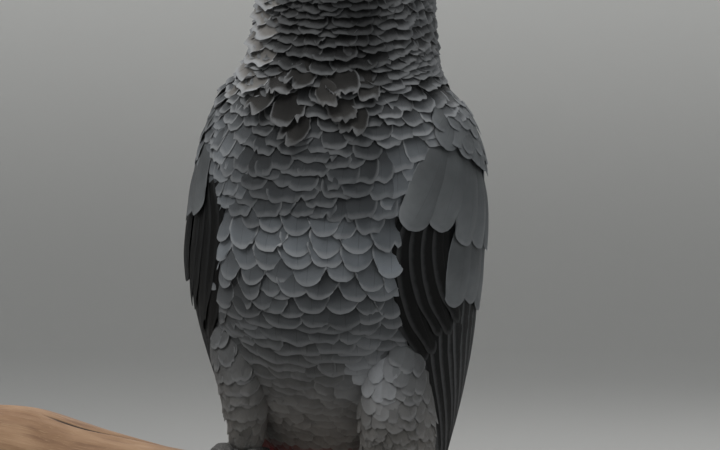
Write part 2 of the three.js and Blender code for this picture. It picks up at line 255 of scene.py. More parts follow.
def body_surface():
    """The surface the contour feathers lie on: rings of points round the axis, over the bends of the wings
    and over the eye sockets as if they were not there."""
    trunk = tree_of("head", "neck", "trunk")
    winged = tree_of("head", "neck", "trunk", "wing_left", "wing_right")
    socket = EYE["radius"] + 1.5

    def reach(tree, middle, way):
        hit = tree.ray_cast(Vector(middle + way * OUTSIDE), Vector(-way), OUTSIDE)[0]
        if hit is None or (Vector((abs(hit.x), hit.y, hit.z)) - Vector(EYE_MIDDLE)).length < socket:
            return np.nan
        return (np.array(hit) - middle) @ way

    def outward(p):
        z = p[..., 2]
        return p - np.stack([0 * z, axis_y(z), np.clip(z, 0, HEAD_MIDDLE)], -1)

    dome = [(HEAD_MIDDLE, math.radians(e)) for e in np.linspace(89, 1.5, DOME)]
    wall = [(z, 0.0) for z in np.arange(HEAD_MIDDLE, BODY_END, -1.0)]
    end = [(BODY_END, math.radians(-e)) for e in np.linspace(1.5, 80, END)]
    turn = around(ROUND)
    radius, middles, ways = [], [], []
    for z, rise in dome + wall + end:
        middle = np.array([0, axis_y(z) + (9 if z == BODY_END else 0) * math.sin(-rise), z])
        level = math.cos(rise)
        way = np.stack([np.sin(turn) * level, -np.cos(turn) * level, np.full(ROUND, math.sin(rise))], -1)
        over = over_wing(z, np.minimum(turn, math.tau - turn)) * (z < WING_TOP)
        ring = [reach(trunk, middle, each) for each in way]
        for j in np.flatnonzero(over > 0):
            ring[j] = mix(ring[j], reach(winged, middle, way[j]), over[j])
        radius.append(ring)
        middles.append(middle)
        ways.append(way)
    radius = fill_gaps(np.array(radius))
    for shift in (1, 2):
        beside = np.maximum(radius[2 * shift:], radius[: -2 * shift])
        radius[shift:-shift] = np.maximum(radius[shift:-shift], beside) * 0.999
    radius = soften(soften(radius, 40, 1, True), 24, 0, False)
    points = np.array(middles)[:, None] + np.array(ways) * radius[..., None]
    return Surface(points, True, outward)


body = body_surface()


# how far the rows of feathers rise at the neck's sides, by height
SWOOP = [(66, 0), (80, 5), (92, 15), (104, 31), (114, 40), (126, 36), (140, 20), (152, 7), (166, 0)]


class Flow:
    """The lie of the coat. The body is unrolled to a plane with the crown at 0 and the bill's root at 1,
    where feathers point straight away from the bill, and a ring round the bill is one row of them."""

    def __init__(self, surface):
        middle = surface.points.mean(1, keepdims=True)
        girth = np.linalg.norm((surface.points - middle)[..., :2], axis=-1).mean(1)
        gap = np.linalg.norm(np.diff(surface.points, axis=0), axis=-1).mean(1)
        steps = gap / (0.5 * (girth[1:] + girth[:-1]))
        self.depth = np.concatenate([[0], np.cumsum(steps)])
        bill_row = np.flatnonzero(surface.points[:, 0, 2] < BILL_BASE)[0]
        self.depth -= self.depth[bill_row]
        self.surface = surface
        self.rows = np.arange(surface.rows)

    def swoop(self, row, column):
        """How much higher the rows stand at the sides of the neck's root than in front, in rows."""
        side = np.sin(column * math.tau / ROUND) ** 2
        return follow(HEAD_MIDDLE + DOME - row, SWOOP) * side / (1 + side)

    def place(self, reach, turn):
        """Row and column at a distance from the bill on the plane, and a direction round it."""
        w = 1 + reach * np.exp(1j * turn)
        row = np.interp(np.log(np.maximum(abs(w), 1e-6)), self.depth, self.rows)
        column = np.angle(w) / math.tau * ROUND
        return row - self.swoop(row, column), column

    def turn(self, row, column):
        """The direction and the distance from the bill of a place: place() the other way round."""
        level = row
        for _ in range(16):
            level = mix(level, row + self.swoop(level, column), 0.7)
        w = np.exp(np.interp(level, self.rows, self.depth) + 1j * column * math.tau / ROUND)
        return np.angle(w - 1), abs(w - 1)

    def way(self, row, column):
        """Unit direction of the feathers at a place."""
        turn, reach = self.turn(row, column)
        here, _ = self.surface.at(*self.place(reach, turn))
        there, _ = self.surface.at(*self.place(reach * 1.01 + 0.002, turn))
        return unit(there - here)


flow = Flow(body)


# ----
# Feathers. Each is a closed thin vane: an upper and a lower sheet that share their rim.
class Vane:
    """How one kind of feather is divided: how far along and across each line of its grid lies."""

    def __init__(self, along, across):
        self.v, self.u = along, across
        rows, columns = len(along), len(across)
        rim = np.ones((rows, columns), bool)
        rim[1:-1, 1:-1] = False
        upper = np.arange(rows * columns).reshape(rows, columns)
        lower = upper.copy()
        lower[~rim] = rows * columns + np.arange((~rim).sum())
        quads = []
        for sheet, order in ((upper, 1), (lower, -1)):
            corners = [sheet[:-1, :-1], sheet[:-1, 1:], sheet[1:, 1:], sheet[1:, :-1]]
            quads.append(np.stack(corners, -1).reshape(-1, 4)[:, ::order])
        self.quads, self.lower_quads = np.concatenate(quads), len(quads[0])
        self.inner = np.s_[:, 1:-1, 1:-1]
        self.on_rim = np.concatenate([rim.ravel(), np.zeros((~rim).sum(), bool)])
        self.count = len(self.on_rim)
        self.loose = rim.astype(float)  # the rim but for the root
        self.loose[0, 1:-1] = 0
        uv = np.stack(np.meshgrid((across + 1) / 2, along), -1)
        self.uv = np.concatenate([uv.reshape(-1, 2), uv[~rim]])


def fine_edges(n):
    """Lines across a vane from edge to edge, closer near the edges."""
    s = np.linspace(-1, 1, n)
    return np.sign(s) * (1 - (1 - abs(s)) ** 1.35)


def fine_tip(n):
    """Lines along a vane from root to tip, closer near the tip."""
    s = np.linspace(0, 1, n)
    return 1 - (1 - s) ** 1.45


SMALL = Vane(fine_tip(8), fine_edges(7))
MEDIUM = Vane(fine_tip(14), fine_edges(11))
LARGE = Vane(fine_tip(18), fine_edges(13))


def outline(v):
    """Half width of a contour feather along its length, as a share of the widest."""
    return (0.45 + (1 - 0.45) * smoothstep(0, 0.5, v)) * (1 - 0.2 * smoothstep(0.72, 1, v) ** 2)


def vanes(surface, kind, row, column, way, style):
    """Lays feathers on a surface from their roots, each along its own straight way. style holds one value
    for each feather: length, half (width), depth (of the root), up (of the middle), lift (of the tip), curl,
    camber, roll, rough (of the rim), thick and more. Returns upper and lower points, and two maps in
    millimetres: from the rim, and along the barbs."""
    get = {key: np.broadcast_to(np.asarray(value, float), (len(row),)) for key, value in style.items()}
    lines = []
    for i, run in enumerate(np.diff(kind.v, prepend=0)):
        if i:
            row, column = surface.step(row, column, way * (get["length"] * run)[:, None])
        _, normal = surface.at(row, column)
        way = unit(way - normal * (way * normal).sum(-1, keepdims=True))
        lines.append((row, column, way))
    return spread(surface, kind, *(np.stack(line, 1) for line in zip(*lines)), get)


def spread(surface, kind, row, column, ways, get):
    """Widens centre lines into vanes. row, column and ways hold each feather's shaft, point by point."""
    n = len(row)
    v, u = kind.v[None, :, None], kind.u[None, None, :]
    grid = (n, len(kind.v), len(kind.u))

    def per(key):
        return get[key][:, None, None]

    _, normal = surface.at(row, column)
    side = unit(np.cross(ways, normal))
    half = (get["half"][:, None] * get.get("shape", outline(kind.v)))[:, :, None]
    # the tip is rounded: lines across bend back towards the sides
    round_off = smoothstep(0.25, 1, v) * per("half") * per("blunt")
    back = -round_off * (1 - np.sqrt(np.maximum(0, 1 - 0.985 * u ** 2)))
    wide = half * u
    # a ragged rim: barbs end unevenly
    ragged = rng.uniform(-1, 1, grid) * per("rough")
    back = back + ragged * kind.loose * smoothstep(0.15, 0.5, v)
    wide = wide - np.sign(u) * rng.uniform(0, 1, grid) * per("rough") * kind.loose * 0.8
    phase = rng.uniform(0, math.tau, n)[:, None, None]
    back = back + per("ripple") * np.sin(4.4 * u + phase) * smoothstep(0.5, 1, v)
    # one split in some vanes
    split_at = rng.uniform(-0.8, 0.8, n)[:, None, None]
    split = per("split") * np.exp(-(((u - split_at) / 0.12) ** 2))
    back = back - split * smoothstep(0.72, 1, v)
    move = side[:, :, None, :] * wide[..., None] + ways[:, :, None, :] * back[..., None]
    row, column = (np.broadcast_to(line[:, :, None], grid) for line in (row, column))
    place, normal = surface.at(*surface.step(row, column, move))
    rise = -per("depth") * (1 - v) ** per("ease")
    rise = rise + per("up") * smoothstep(-0.3, 0.45, v) + per("lift") * v
    rise = rise + per("curl") * smoothstep(0.55, 1, v) ** 2
    rise = rise - per("camber") * u ** 2 * smoothstep(0, 0.3, v)
    rise = rise + per("roll") * u * smoothstep(0, 0.3, v)
    wave = np.sin(u * 4.1 + rng.uniform(0, 6.3, n)[:, None, None]) * per("wave")
    rise = rise + wave * v ** 2
    upper = place + normal * rise[..., None]
    thick = per("thick") * (1 - 0.75 * u ** 2) * (1 - 0.6 * v)
    lower = upper - normal * thick[..., None]
    # the pale margin is broadest at the tip and fades up the sides, or lies on one side of a quill
    one_side = per("one_side") > 0
    from_side = half * np.where(one_side, 1 - u, 1 - abs(u))
    from_side = from_side * (1 + 3.5 * (1 - v) * ~one_side)
    rim = np.minimum(from_side, per("length") * (1 - v))
    barb = v * per("length") + back - abs(wide) * 0.9
    return upper, lower, rim, barb


PATCH = 0.003  # size of one vane on the coat's unwrap


def smooth_faces(mesh):
    mesh.polygons.foreach_set("use_smooth", np.ones(len(mesh.polygons), bool))


def add_map(mesh, name, values, colour=False):
    """A map for the material: a number for each point, or a colour with a fourth value."""
    kind, field = ("FLOAT_COLOR", "color") if colour else ("FLOAT", "value")
    mesh.attributes.new(name, kind, "POINT").data.foreach_set(field, np.ravel(values))


def vane_mesh(name, kind, batches, material, slot, side=1):
    """One joined mesh of many vanes. A batch is (upper, lower, rim, barb, tint, fringe, place on the
    unwrap). Side -1 mirrors them to the bird's right."""
    upper, lower, rim, barb, tint, fringe, spot = (np.concatenate(part) for part in zip(*batches))
    n = len(upper)

    def sheets(above, below):
        below = below[kind.inner]
        return np.concatenate([part.reshape(n, -1, *part.shape[3:]) for part in (above, below)], 1)

    world = BIRD.out(sheets(upper, lower).reshape(-1, 3) * [side, 1, 1])
    one = kind.quads[:, ::side]
    quads = (one[None] + (np.arange(n) * kind.count)[:, None, None]).reshape(-1, 4)
    mesh = bpy.data.meshes.new(name)
    mesh.vertices.add(len(world))
    mesh.vertices.foreach_set("co", world.ravel())
    mesh.loops.add(quads.size)
    mesh.loops.foreach_set("vertex_index", quads.ravel())
    mesh.polygons.add(len(quads))
    mesh.polygons.foreach_set("loop_start", np.arange(len(quads)) * 4)
    mesh.update(calc_edges=True)
    smooth_faces(mesh)
    ends = np.zeros(len(mesh.edges) * 2, np.int64)
    mesh.edges.foreach_get("vertices", ends)
    sharp = kind.on_rim[ends.reshape(-1, 2) % kind.count].all(1)
    mesh.attributes.new("sharp_edge", "BOOLEAN", "EDGE").data.foreach_set("value", sharp)
    add_map(mesh, "rim", sheets(rim, rim))
    add_map(mesh, "barb", sheets(barb, barb))
    add_map(mesh, "coat", np.repeat(np.concatenate([tint, fringe[:, None]], 1), kind.count, 0), True)
    # one patch for each vane on the unwrapped skin: its upper side in one half, its lower in the other
    local = kind.uv[one]
    half = kind.lower_quads
    patch = np.empty_like(local)
    patch[:half] = local[:half] * [0.46, 0.96] + [0.02, 0.02]
    patch[half:] = local[half:] * [-0.46, 0.96] + [0.98, 0.02]
    patch = spot[:, None, None, :] + patch[None] * PATCH
    mesh.uv_layers.new(name="OFBake").data.foreach_set("uv", np.clip(patch, 0, 1).ravel())
    mesh.uv_layers.new(name="Vane").data.foreach_set("uv", np.tile(local.ravel(), n))
    mesh.uv_layers.active = mesh.uv_layers["OFBake"]
    return add_piece(name, mesh, material, slot)


def link(name, data):
    """A new object in the scene."""
    made = bpy.data.objects.new(name, data)
    bpy.context.scene.collection.objects.link(made)
    return made


def add_piece(name, mesh, material, slot, *replaced):
    mesh.materials.clear()
    mesh.materials.append(material)
    piece = link(name, mesh)
    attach(piece, "root")
    if replaced:
        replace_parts(piece, *replaced)
    return piece


# ----
# Materials
class Nodes:
    """Short calls for building one material's node tree."""

    def __init__(self, name):
        self.material = bpy.data.materials.new(name)
        self.material.use_nodes = True
        self.tree = self.material.node_tree
        self.shader = self.tree.nodes["Principled BSDF"]

    def new(self, kind, **settings):
        node = self.tree.nodes.new(kind)
        for key, value in settings.items():
            if key in node.inputs:
                self.put(node.inputs[key], value)
            else:
                setattr(node, key, value)
        return node

    def put(self, socket, value):
        if isinstance(value, bpy.types.NodeSocket):
            self.tree.links.new(value, socket)
        else:
            socket.default_value = value

    def math(self, operation, a, b=None, c=None):
        node = self.new("ShaderNodeMath", operation=operation)
        for socket, value in zip(node.inputs, (a, b, c)):
            if value is not None:
                self.put(socket, value)
        return node.outputs[0]

    def times(self, a, b):
        return self.math("MULTIPLY", a, b)

    def plus(self, a, b):
        return self.math("ADD", a, b)

    def line(self, x, slope, start):
        """x times the slope, plus the start."""
        return self.math("MULTIPLY_ADD", x, slope, start)

    def sine(self, x):
        """A sine from 0 to 1."""
        return self.line(self.math("SINE", x), 0.5, 0.5)

    def step(self, x, low, high, out_low=0.0, out_high=1.0):
        node = self.new("ShaderNodeMapRange", interpolation_type="SMOOTHSTEP")
        for key, value in (("Value", x), ("From Min", low), ("From Max", high),
                           ("To Min", out_low), ("To Max", out_high)):
            self.put(node.inputs[key], value)
        return node.outputs[0]

    def mix(self, factor, a, b, blend="MIX"):
        node = self.new("ShaderNodeMix", data_type="RGBA", blend_type=blend, clamp_factor=True)
        for socket, value in ((node.inputs[0], factor), (node.inputs[6], a), (node.inputs[7], b)):
            self.put(socket, (*value, 1) if isinstance(value, tuple) and len(value) == 3 else value)
        return node.outputs[2]

    def scaled(self, colour, tone):
        grey = self.new("ShaderNodeCombineColor", Red=tone, Green=tone, Blue=tone).outputs[0]
        return self.mix(1.0, colour, grey, "MULTIPLY")

    def noise(self, scale, detail=3.0, vector=None, roughness=0.55, distortion=0.0):
        node = self.new("ShaderNodeTexNoise", Scale=scale, Detail=detail, Roughness=roughness,
                        Distortion=distortion)
        if vector is not None:
            self.put(node.inputs["Vector"], vector)
        return node.outputs["Fac"]

    def place(self):
        return self.new("ShaderNodeTexCoord").outputs["Object"]

    def attribute(self, name):
        return self.new("ShaderNodeAttribute", attribute_name=name)

    def bump(self, height, strength, distance, normal=None):
        node = self.new("ShaderNodeBump", Strength=strength, Distance=distance, Height=height)
        if normal is not None:
            self.put(node.inputs["Normal"], normal)
        return node.outputs[0]

    def finish(self, **sockets):
        for key, value in sockets.items():
            self.put(self.shader.inputs[key.replace("_", " ")], value)
        return self.material


BLACK = (0.012, 0.012, 0.013)
SOFT, SLEEK = (0.8, 0.2, 0.06), (0.6, 0.12, 0.0)  # roughness, specular level and sheen


def feather_material(name, pale, fringe=0.8, barb=(0.34, 0.16), shaft=(BLACK, 0.01, 0.3), painted_shade=0.5,
                     gloss=SOFT):
    """Barbs sloping off the shaft, a soft pale fringe of some width, and uneven tone, all on the vane's own
    maps, with painted shade on the part that is tucked under other feathers. barb is their spacing and
    relief, shaft its colour, width and strength, and painted_shade the tone of that tucked-under part,
    darker as if in the shadow of the feathers over it."""
    (barb_gap, relief), (shaft, shaft_width, shaft_strength) = barb, shaft
    n = Nodes(name)
    coat = n.attribute("coat")
    rim, barb = n.attribute("rim").outputs["Fac"], n.attribute("barb").outputs["Fac"]
    split = n.new("ShaderNodeSeparateXYZ", Vector=n.new("ShaderNodeUVMap", uv_map="Vane").outputs[0])
    u = n.math("ABSOLUTE", n.math("SUBTRACT", split.outputs[0], 0.5))
    v = split.outputs[1]
    where = n.place()
    grain, clumps = n.noise(420, 2, where), n.noise(110, 3, where)
    barbs = n.sine(n.line(grain, 1.7, n.times(barb, math.tau / barb_gap)))
    furrows = n.line(barbs, relief, 1.0 - relief * 0.6)
    tone = n.times(furrows, n.line(clumps, 0.7, 0.66))
    # painted shade: the vane darkens towards its root, where other feathers lie over it
    tone = n.times(tone, n.step(v, 0.4, 0.92, painted_shade, 1.0))
    inner = n.scaled(coat.outputs["Color"], tone)
    wobble = n.line(grain, fringe * 1.1, n.math("SUBTRACT", rim, fringe * 0.55))
    edge = n.step(wobble, fringe * 0.3, fringe * 2.1, 1.0, 0.0)
    edge = n.times(n.times(edge, coat.outputs["Alpha"]), furrows)
    colour = n.mix(edge, inner, pale)
    line = n.step(u, shaft_width * 0.5, shaft_width, 1.0, 0.0)
    line = n.times(line, n.step(v, 0.8, 0.97, shaft_strength, 0.0))
    colour = n.mix(line, colour, shaft)
    height = n.plus(n.times(barbs, 0.6), n.times(grain, 0.4))
    height = n.plus(height, n.times(line, 1.6))
    return n.finish(Base_Color=colour, Roughness=gloss[0], Normal=n.bump(height, 0.5, 0.0002),
                    Specular_IOR_Level=gloss[1], Sheen_Weight=gloss[2], Sheen_Roughness=0.5)


PALE = (0.36, 0.37, 0.385)
neck_material = feather_material("neck_feather", PALE, 1.0, painted_shade=0.22)
body_material = feather_material("body_feather", PALE, 1.25, painted_shade=0.5)
face_material = feather_material(
    "face_feather", PALE, 0.8, (0.34, 0.05), ((0.4, 0.39, 0.38), 0.01, 0.1), 0.95)
down_material = feather_material("down_feather", PALE, 1.0, (0.3, 0.12), (BLACK, 0.01, 0.05), 0.82)
covert_material = feather_material(
    "covert_feather", (0.2, 0.21, 0.225), 0.9, (0.45, 0.12), (BLACK, 0.008, 0.2), 0.6, SLEEK)
quill_material = feather_material(
    "quill_feather", (0.08, 0.083, 0.087), 1.0, (0.5, 0.16), (BLACK, 0.02, 0.7), 0.9, SLEEK)
tail_material = feather_material(
    "tail_feather", (0.6, 0.08, 0.06), 0.4, (0.5, 0.2), ((0.1, 0.004, 0.004), 0.016, 0.7), 0.9, SLEEK)


def skin_look():
    """Bare skin: white and finely folded on the face, grey with small raised scales on the feet, with
    painted shade in the furrows between the scales.
    """
    n = Nodes("skin")
    coat, where = n.attribute("coat"), n.place()
    foot = n.step(coat.outputs["Alpha"], 0.7, 0.9)
    cells = n.new("ShaderNodeTexVoronoi", feature="DISTANCE_TO_EDGE", Vector=where, Scale=1450.0)
    furrow = n.times(n.step(cells.outputs[0], 0.02, 0.16, 1.0, 0.0), foot)
    mottle, pores = n.noise(230, 4, where), n.noise(2100, 2, where)
    tone = n.times(n.line(mottle, 0.5, 0.76), n.line(pores, 0.24, 0.88))
    # painted shade: the furrows between the foot's scales are darker
    tone = n.times(tone, n.line(furrow, -0.42, 1.0))
    height = n.plus(n.times(pores, 0.35), n.times(furrow, -1.2))
    height = n.plus(height, n.times(mottle, 0.6))
    return n.finish(Base_Color=n.scaled(coat.outputs["Color"], tone),
                    Roughness=n.step(pores, 0.3, 0.7, 0.55, 0.75),
                    Normal=n.bump(height, 0.45, 0.0003), Specular_IOR_Level=0.35)


def eye_look():
    """A black pupil in a pale straw iris with fine spokes, a dark edge, and a wet surface."""
    n = Nodes("eye")
    reach, where = n.attribute("reach").outputs["Fac"], n.place()
    fleck, spoke = n.noise(900, 3, where), n.noise(2600, 2, where)
    reach = n.line(fleck, 0.16, n.math("SUBTRACT", reach, 0.08))
    iris = n.mix(n.step(reach, 2.0, 4.0), (0.5, 0.43, 0.24), (0.68, 0.62, 0.38))
    iris = n.mix(n.step(spoke, 0.42, 0.62, 0.0, 0.5), iris, (0.4, 0.33, 0.16))
    colour = n.mix(n.step(reach, 1.72, 1.95), (0.002, 0.002, 0.002), iris)
    colour = n.mix(n.step(reach, 1.9, 2.25, 0.6, 0.0), colour, (0.06, 0.06, 0.055))
    colour = n.mix(n.step(reach, 4.45, 4.85), colour, (0.018, 0.015, 0.013))
    return n.finish(Base_Color=colour, Roughness=n.step(fleck, 0.3, 0.7, 0.3, 0.4), Specular_IOR_Level=0.15,
                    Coat_Weight=1.0, Coat_Roughness=0.03)


def horn_look(name, deep, pale, scale, roughness):
    """Horn in thin layers: near black, with a dusty bloom and fine scratches along the layers."""
    n = Nodes(name)
    where, along = n.place(), n.attribute("along").outputs["Fac"]
    cloud, fine = n.noise(90, 4, where), n.noise(scale, 3, where, distortion=0.4)
    layers = n.sine(n.line(fine, 7.0, n.times(along, 150.0)))
    bloom = n.times(n.step(cloud, 0.42, 0.72), n.line(layers, 0.4, 0.6))
    colour = n.mix(n.times(bloom, 0.75), deep, pale)
    rough = n.line(bloom, 0.2, n.line(fine, 0.1, roughness))
    height = n.plus(n.times(layers, 0.25), n.times(fine, 0.8))
    return n.finish(Base_Color=colour, Roughness=rough, Normal=n.bump(height, 0.3, 0.0002))


def wood_look():
    """Weathered orange-brown wood: long fibres, darker streaks, cracks with painted shade in them, rings on
    the sawn ends.
    """
    n = Nodes("weathered_wood")
    x, y, z = (n.attribute(f"wood_{axis}").outputs["Fac"] for axis in "xyz")
    crack, end = n.attribute("crack").outputs["Fac"], n.attribute("end").outputs["Fac"]
    long, short = (n.new("ShaderNodeCombineXYZ", X=n.times(x, share), Y=y, Z=z).outputs[0]
                   for share in (0.045, 0.3))
    fibre, streak, blotch = n.noise(2.4, 5, long, 0.65), n.noise(0.42, 4, long), n.noise(0.12, 3, short)
    radius = n.math("SQRT", n.plus(n.times(y, y), n.times(z, z)))
    rings = n.sine(n.line(streak, 3.0, n.times(radius, 5.4)))
    colour = n.mix(n.step(blotch, 0.35, 0.68), (0.265, 0.148, 0.078), (0.385, 0.238, 0.138))
    colour = n.mix(n.step(streak, 0.5, 0.72, 0.0, 0.75), colour, (0.17, 0.085, 0.045))
    colour = n.mix(n.step(fibre, 0.5, 0.75, 0.0, 0.55), colour, (0.45, 0.315, 0.2))
    sawn = n.mix(n.times(rings, 0.7), (0.46, 0.31, 0.19), (0.24, 0.13, 0.07))
    colour = n.mix(end, colour, sawn)
    # painted shade: the drying cracks are painted near black
    colour = n.mix(n.step(crack, 0.25, 0.7), colour, (0.03, 0.017, 0.01))
    height = n.plus(n.times(fibre, 1.0), n.times(streak, 1.2))
    return n.finish(Base_Color=colour, Roughness=n.step(fibre, 0.3, 0.7, 0.62, 0.82),
                    Normal=n.bump(height, 0.5, 0.0004))


def stand_look():
    """Satin black paint over fine-grained board, a little worn and dusty."""
    n = Nodes("satin_black")
    where = n.place()
    orange_peel, dust = n.noise(900, 2, where), n.noise(24, 5, where)
    colour = n.mix(n.step(dust, 0.45, 0.75, 0.0, 0.5), (0.02, 0.02, 0.021), (0.045, 0.044, 0.042))
    return n.finish(Base_Color=colour, Roughness=n.line(dust, 0.2, 0.3),
                    Normal=n.bump(orange_peel, 0.08, 0.0002))


def rod_look():
    """Brushed steel, with fine lines round it."""
    n = Nodes("brushed_steel")
    where = n.place()
    x, y, z = n.new("ShaderNodeSeparateXYZ", Vector=where).outputs
    flat = n.new("ShaderNodeCombineXYZ", X=x, Y=y, Z=n.times(z, 60.0)).outputs[0]
    lines, stain = n.noise(90, 4, flat), n.noise(40, 3, where)
    colour = n.mix(lines, (0.42, 0.43, 0.44), (0.6, 0.61, 0.62))
    rough = n.line(lines, 0.14, n.line(stain, 0.12, 0.2))
    return n.finish(Base_Color=colour, Roughness=rough, Metallic=1.0, Normal=n.bump(lines, 0.06, 0.0001))


skin_material = skin_look()
eye_material = eye_look()
bill_material = horn_look("bill_horn", (0.009, 0.009, 0.01), (0.07, 0.072, 0.076), 420, 0.3)
claw_material = horn_look("claw_horn", (0.01, 0.0095, 0.009), (0.05, 0.048, 0.045), 1100, 0.22)
wood_material = wood_look()
stand_material = stand_look()
rod_material = rod_look()


# ----
# Where the contour feathers of body, neck and head grow, and what each is like
def front_share(column):
    """1 at the middle of the front, 0 at the middle of the back."""
    return 0.5 + 0.5 * np.cos(column * math.tau / ROUND)


def from_front(column):
    """Angle from the middle of the front, the same to both sides."""
    return abs((column / ROUND + 0.5) % 1 - 0.5) * math.tau


def jitter(amount, count):
    return 1 + rng.uniform(-amount, amount, count)


def yawed(way, normal, degrees):
    """Ways along a surface, each turned by its own angle."""
    yaw = np.radians(degrees)[:, None]
    return way * np.cos(yaw) + np.cross(normal, way) * np.sin(yaw)


# by height: how far one row of feathers stands from the next, mm, and a feather's width as a share of that
ROW_GAPS = [
    (-14, 3.2), (0, 3.8), (20, 4.3), (45, 4.7), (68, 4.9), (80, 5.8), (96, 6.0), (104, 4.9), (122, 4.7),
    (136, 4.8), (148, 4.7), (155, 3.4), (162, 2.8), (172, 2.5), (182, 2.5),
]
WIDTHS = [
    (-14, 1.5), (20, 1.6), (50, 2.2), (66, 2.3), (80, 2.3), (96, 2.2), (104, 1.75), (135, 1.6), (152, 1.6),
    (160, 2.1), (175, 1.8), (190, 1.35),
]
FIRST_ROW = 0.38  # its distance from the bill on the flow's plane
LAST_ROW = -9  # its height


def row_gap(place, column):
    """How far one row of feathers stands from the next, mm."""
    z = place[..., 2]
    to_bill = np.linalg.norm(place - np.array([0, -46, BILL_BASE]), axis=-1)
    head = np.clip(1.35 + 0.034 * to_bill, 1.4, 3.0)
    lower = follow(z, ROW_GAPS) * np.where(z > 130, 1, mix(1.12, 1, front_share(column)))
    return mix(lower, head, smoothstep(166, 188, z))


def contour_roots():
    """Rows from the bill to the vent, with more rows put in where the coat spreads. Returns each feather's
    row and column on the body, the gap between its rows, and its width."""
    samples = 1440
    turn = (np.arange(samples) + 0.5) / samples * math.tau
    found, line, reach = [], 0, FIRST_ROW
    while True:
        row, column = flow.place(np.array([reach]), np.array([0.0]))
        here, _ = body.at(row, column)
        if here[0, 2] < LAST_ROW:
            break
        there, _ = body.at(*flow.place(np.array([reach * 1.002]), np.array([0.0])))
        speed = np.linalg.norm(there - here) / (reach * 0.002)
        jump = row_gap(here, column)[0] / max(speed, 1e-4)
        row, column = flow.place(reach, turn)
        here, _ = body.at(row, column)
        there, _ = body.at(*flow.place(reach + jump, turn))
        gap, want = np.linalg.norm(there - here, axis=-1), row_gap(here, column)
        level = np.clip(np.round(np.log2(np.maximum(gap / want, 0.3))), 0, 3).astype(int)
        for k in range(level.max() + 1):
            for part in [0.0] if k == 0 else np.arange(1, 2 ** k, 2) / 2 ** k:
                row, column = flow.place(reach + jump * part, turn)
                place, _ = body.at(row, column)
                across = follow(place[:, 2], WIDTHS) * want * 0.8
                counts = np.cumsum(np.linalg.norm(np.roll(place, -1, 0) - place, axis=-1) / across)
                total = max(1, round(counts[-1]))
                offset = (0.5 if line % 2 else 0.0) + rng.uniform(-0.12, 0.12)
                spots = np.arange(total) + 0.5 + offset * 0.999 + rng.uniform(-0.09, 0.09, total)
                picks = np.searchsorted(counts * total / counts[-1], spots)
                picks = np.clip(picks, 0, samples - 1)
                picks = picks[level[picks] >= k]
                found.append([values[picks] for values in (row, column, gap / 2 ** level, across)])
                line += 1
        reach += jump
    return [np.concatenate(values) for values in zip(*found)]


RED = np.array([0.36, 0.012, 0.014])


COAT_TONES = [
    # height, then the grey in front, at the side and behind, then the strength of the fringe likewise; the
    # much darker grey in front from 102 to 165 mm is painted shade over the coat's own grey
    (-14, 0.12, 0.12, 0.26, 0.15, 0.15, 0.3),
    (8, 0.14, 0.12, 0.28, 0.1, 0.1, 0.3),
    (30, 0.16, 0.12, 0.19, 0.1, 0.15, 0.3),
    (50, 0.1, 0.1, 0.14, 0.22, 0.22, 0.3),
    (66, 0.07, 0.08, 0.13, 0.27, 0.27, 0.3),
    (78, 0.115, 0.12, 0.12, 0.45, 0.3, 0.3),
    (94, 0.205, 0.2, 0.12, 0.62, 0.3, 0.3),
    (102, 0.065, 0.17, 0.12, 0.26, 0.3, 0.34),
    (115, 0.043, 0.16, 0.12, 0.21, 0.32, 0.38),
    (128, 0.04, 0.13, 0.12, 0.27, 0.45, 0.42),
    (140, 0.033, 0.1, 0.12, 0.3, 0.68, 0.46),
    (165, 0.015, 0.08, 0.13, 0.13, 0.56, 0.5),
    (185, 0.08, 0.11, 0.15, 0.45, 0.55, 0.56),
    (205, 0.16, 0.16, 0.17, 0.62, 0.65, 0.64),
    (232, 0.2, 0.2, 0.2, 0.66, 0.68, 0.68),
]
# how much warmer than grey the coat is, by height
WARMTH = [(10, 1.0), (35, 0.3), (60, -0.9), (90, -1.5), (125, -1.3), (150, -0.6), (200, -0.3)]


def coat_colour(place, column):
    """Colour of the vanes and strength of their pale fringes, for coat and skin alike."""
    x, z = place[..., 0], place[..., 2]
    turn = np.degrees(from_front(column))
    to_side, to_back = smoothstep(22, 52, turn), smoothstep(95, 140, turn)
    heights, *tones = zip(*COAT_TONES)
    tones = [np.interp(z, heights, tone) for tone in tones]
    grey, fringe = (mix(mix(front, side, to_side), back, to_back)
                    for front, side, back in (tones[:3], tones[3:]))
    tint = grey[..., None] * (1 + follow(z, WARMTH)[..., None] * np.array([0.06, 0.0, -0.07]))
    # a downy pale patch on the left flank, over the thigh
    patch = np.exp(-(((x - 24) / 7) ** 2) - ((z - 46) / 9) ** 2) * (1 - to_back)
    tint = tint + patch[..., None] * np.array([0.17, 0.18, 0.195])
    # painted shade on the left side of the neck, which also dims its fringes, and painted light on its right
    # side
    throat = smoothstep(136, 146, z) * smoothstep(186, 176, z)
    painted_neck_shade, painted_neck_light = smoothstep(4, 14, x) * throat, smoothstep(-6, -16, x) * throat
    tint = tint * (1 - 0.4 * painted_neck_shade + 0.5 * painted_neck_light)[..., None]
    # the red feathers low on the front, their red halved by painted shade
    red = smoothstep(17, 9, z) * (1 - to_back)
    tint = mix(tint, 0.5 * RED, red[..., None])
    return tint, fringe * (1 - 0.5 * painted_neck_shade) * (1 - 0.6 * red)
# a folded wing's back and front edge by height, in degrees round from the middle of the back
WING_BACK = [
    (-15, 7), (5, 7), (23, 9), (40, 12), (58, 18), (78, 25), (97, 32), (114, 40), (129, 52), (137, 72),
]
WING_FRONT = [
    (-15, 81), (5, 91), (23, 102), (40, 112), (58, 121), (78, 126), (97, 127), (114, 124), (129, 112),
    (137, 88),
]
# how far forward the body's feathers are left out under each wing
BARE_LEFT = [(5, 91), (30, 109), (46, 119), (56, 121), (88, 122), (102, 121), (120, 120), (138, 108)]
BARE_RIGHT = [
    (5, 86), (30, 107), (42, 116), (50, 121), (60, 121), (92, 122), (98, 112), (104, 94), (127, 94),
    (128, 0),
]


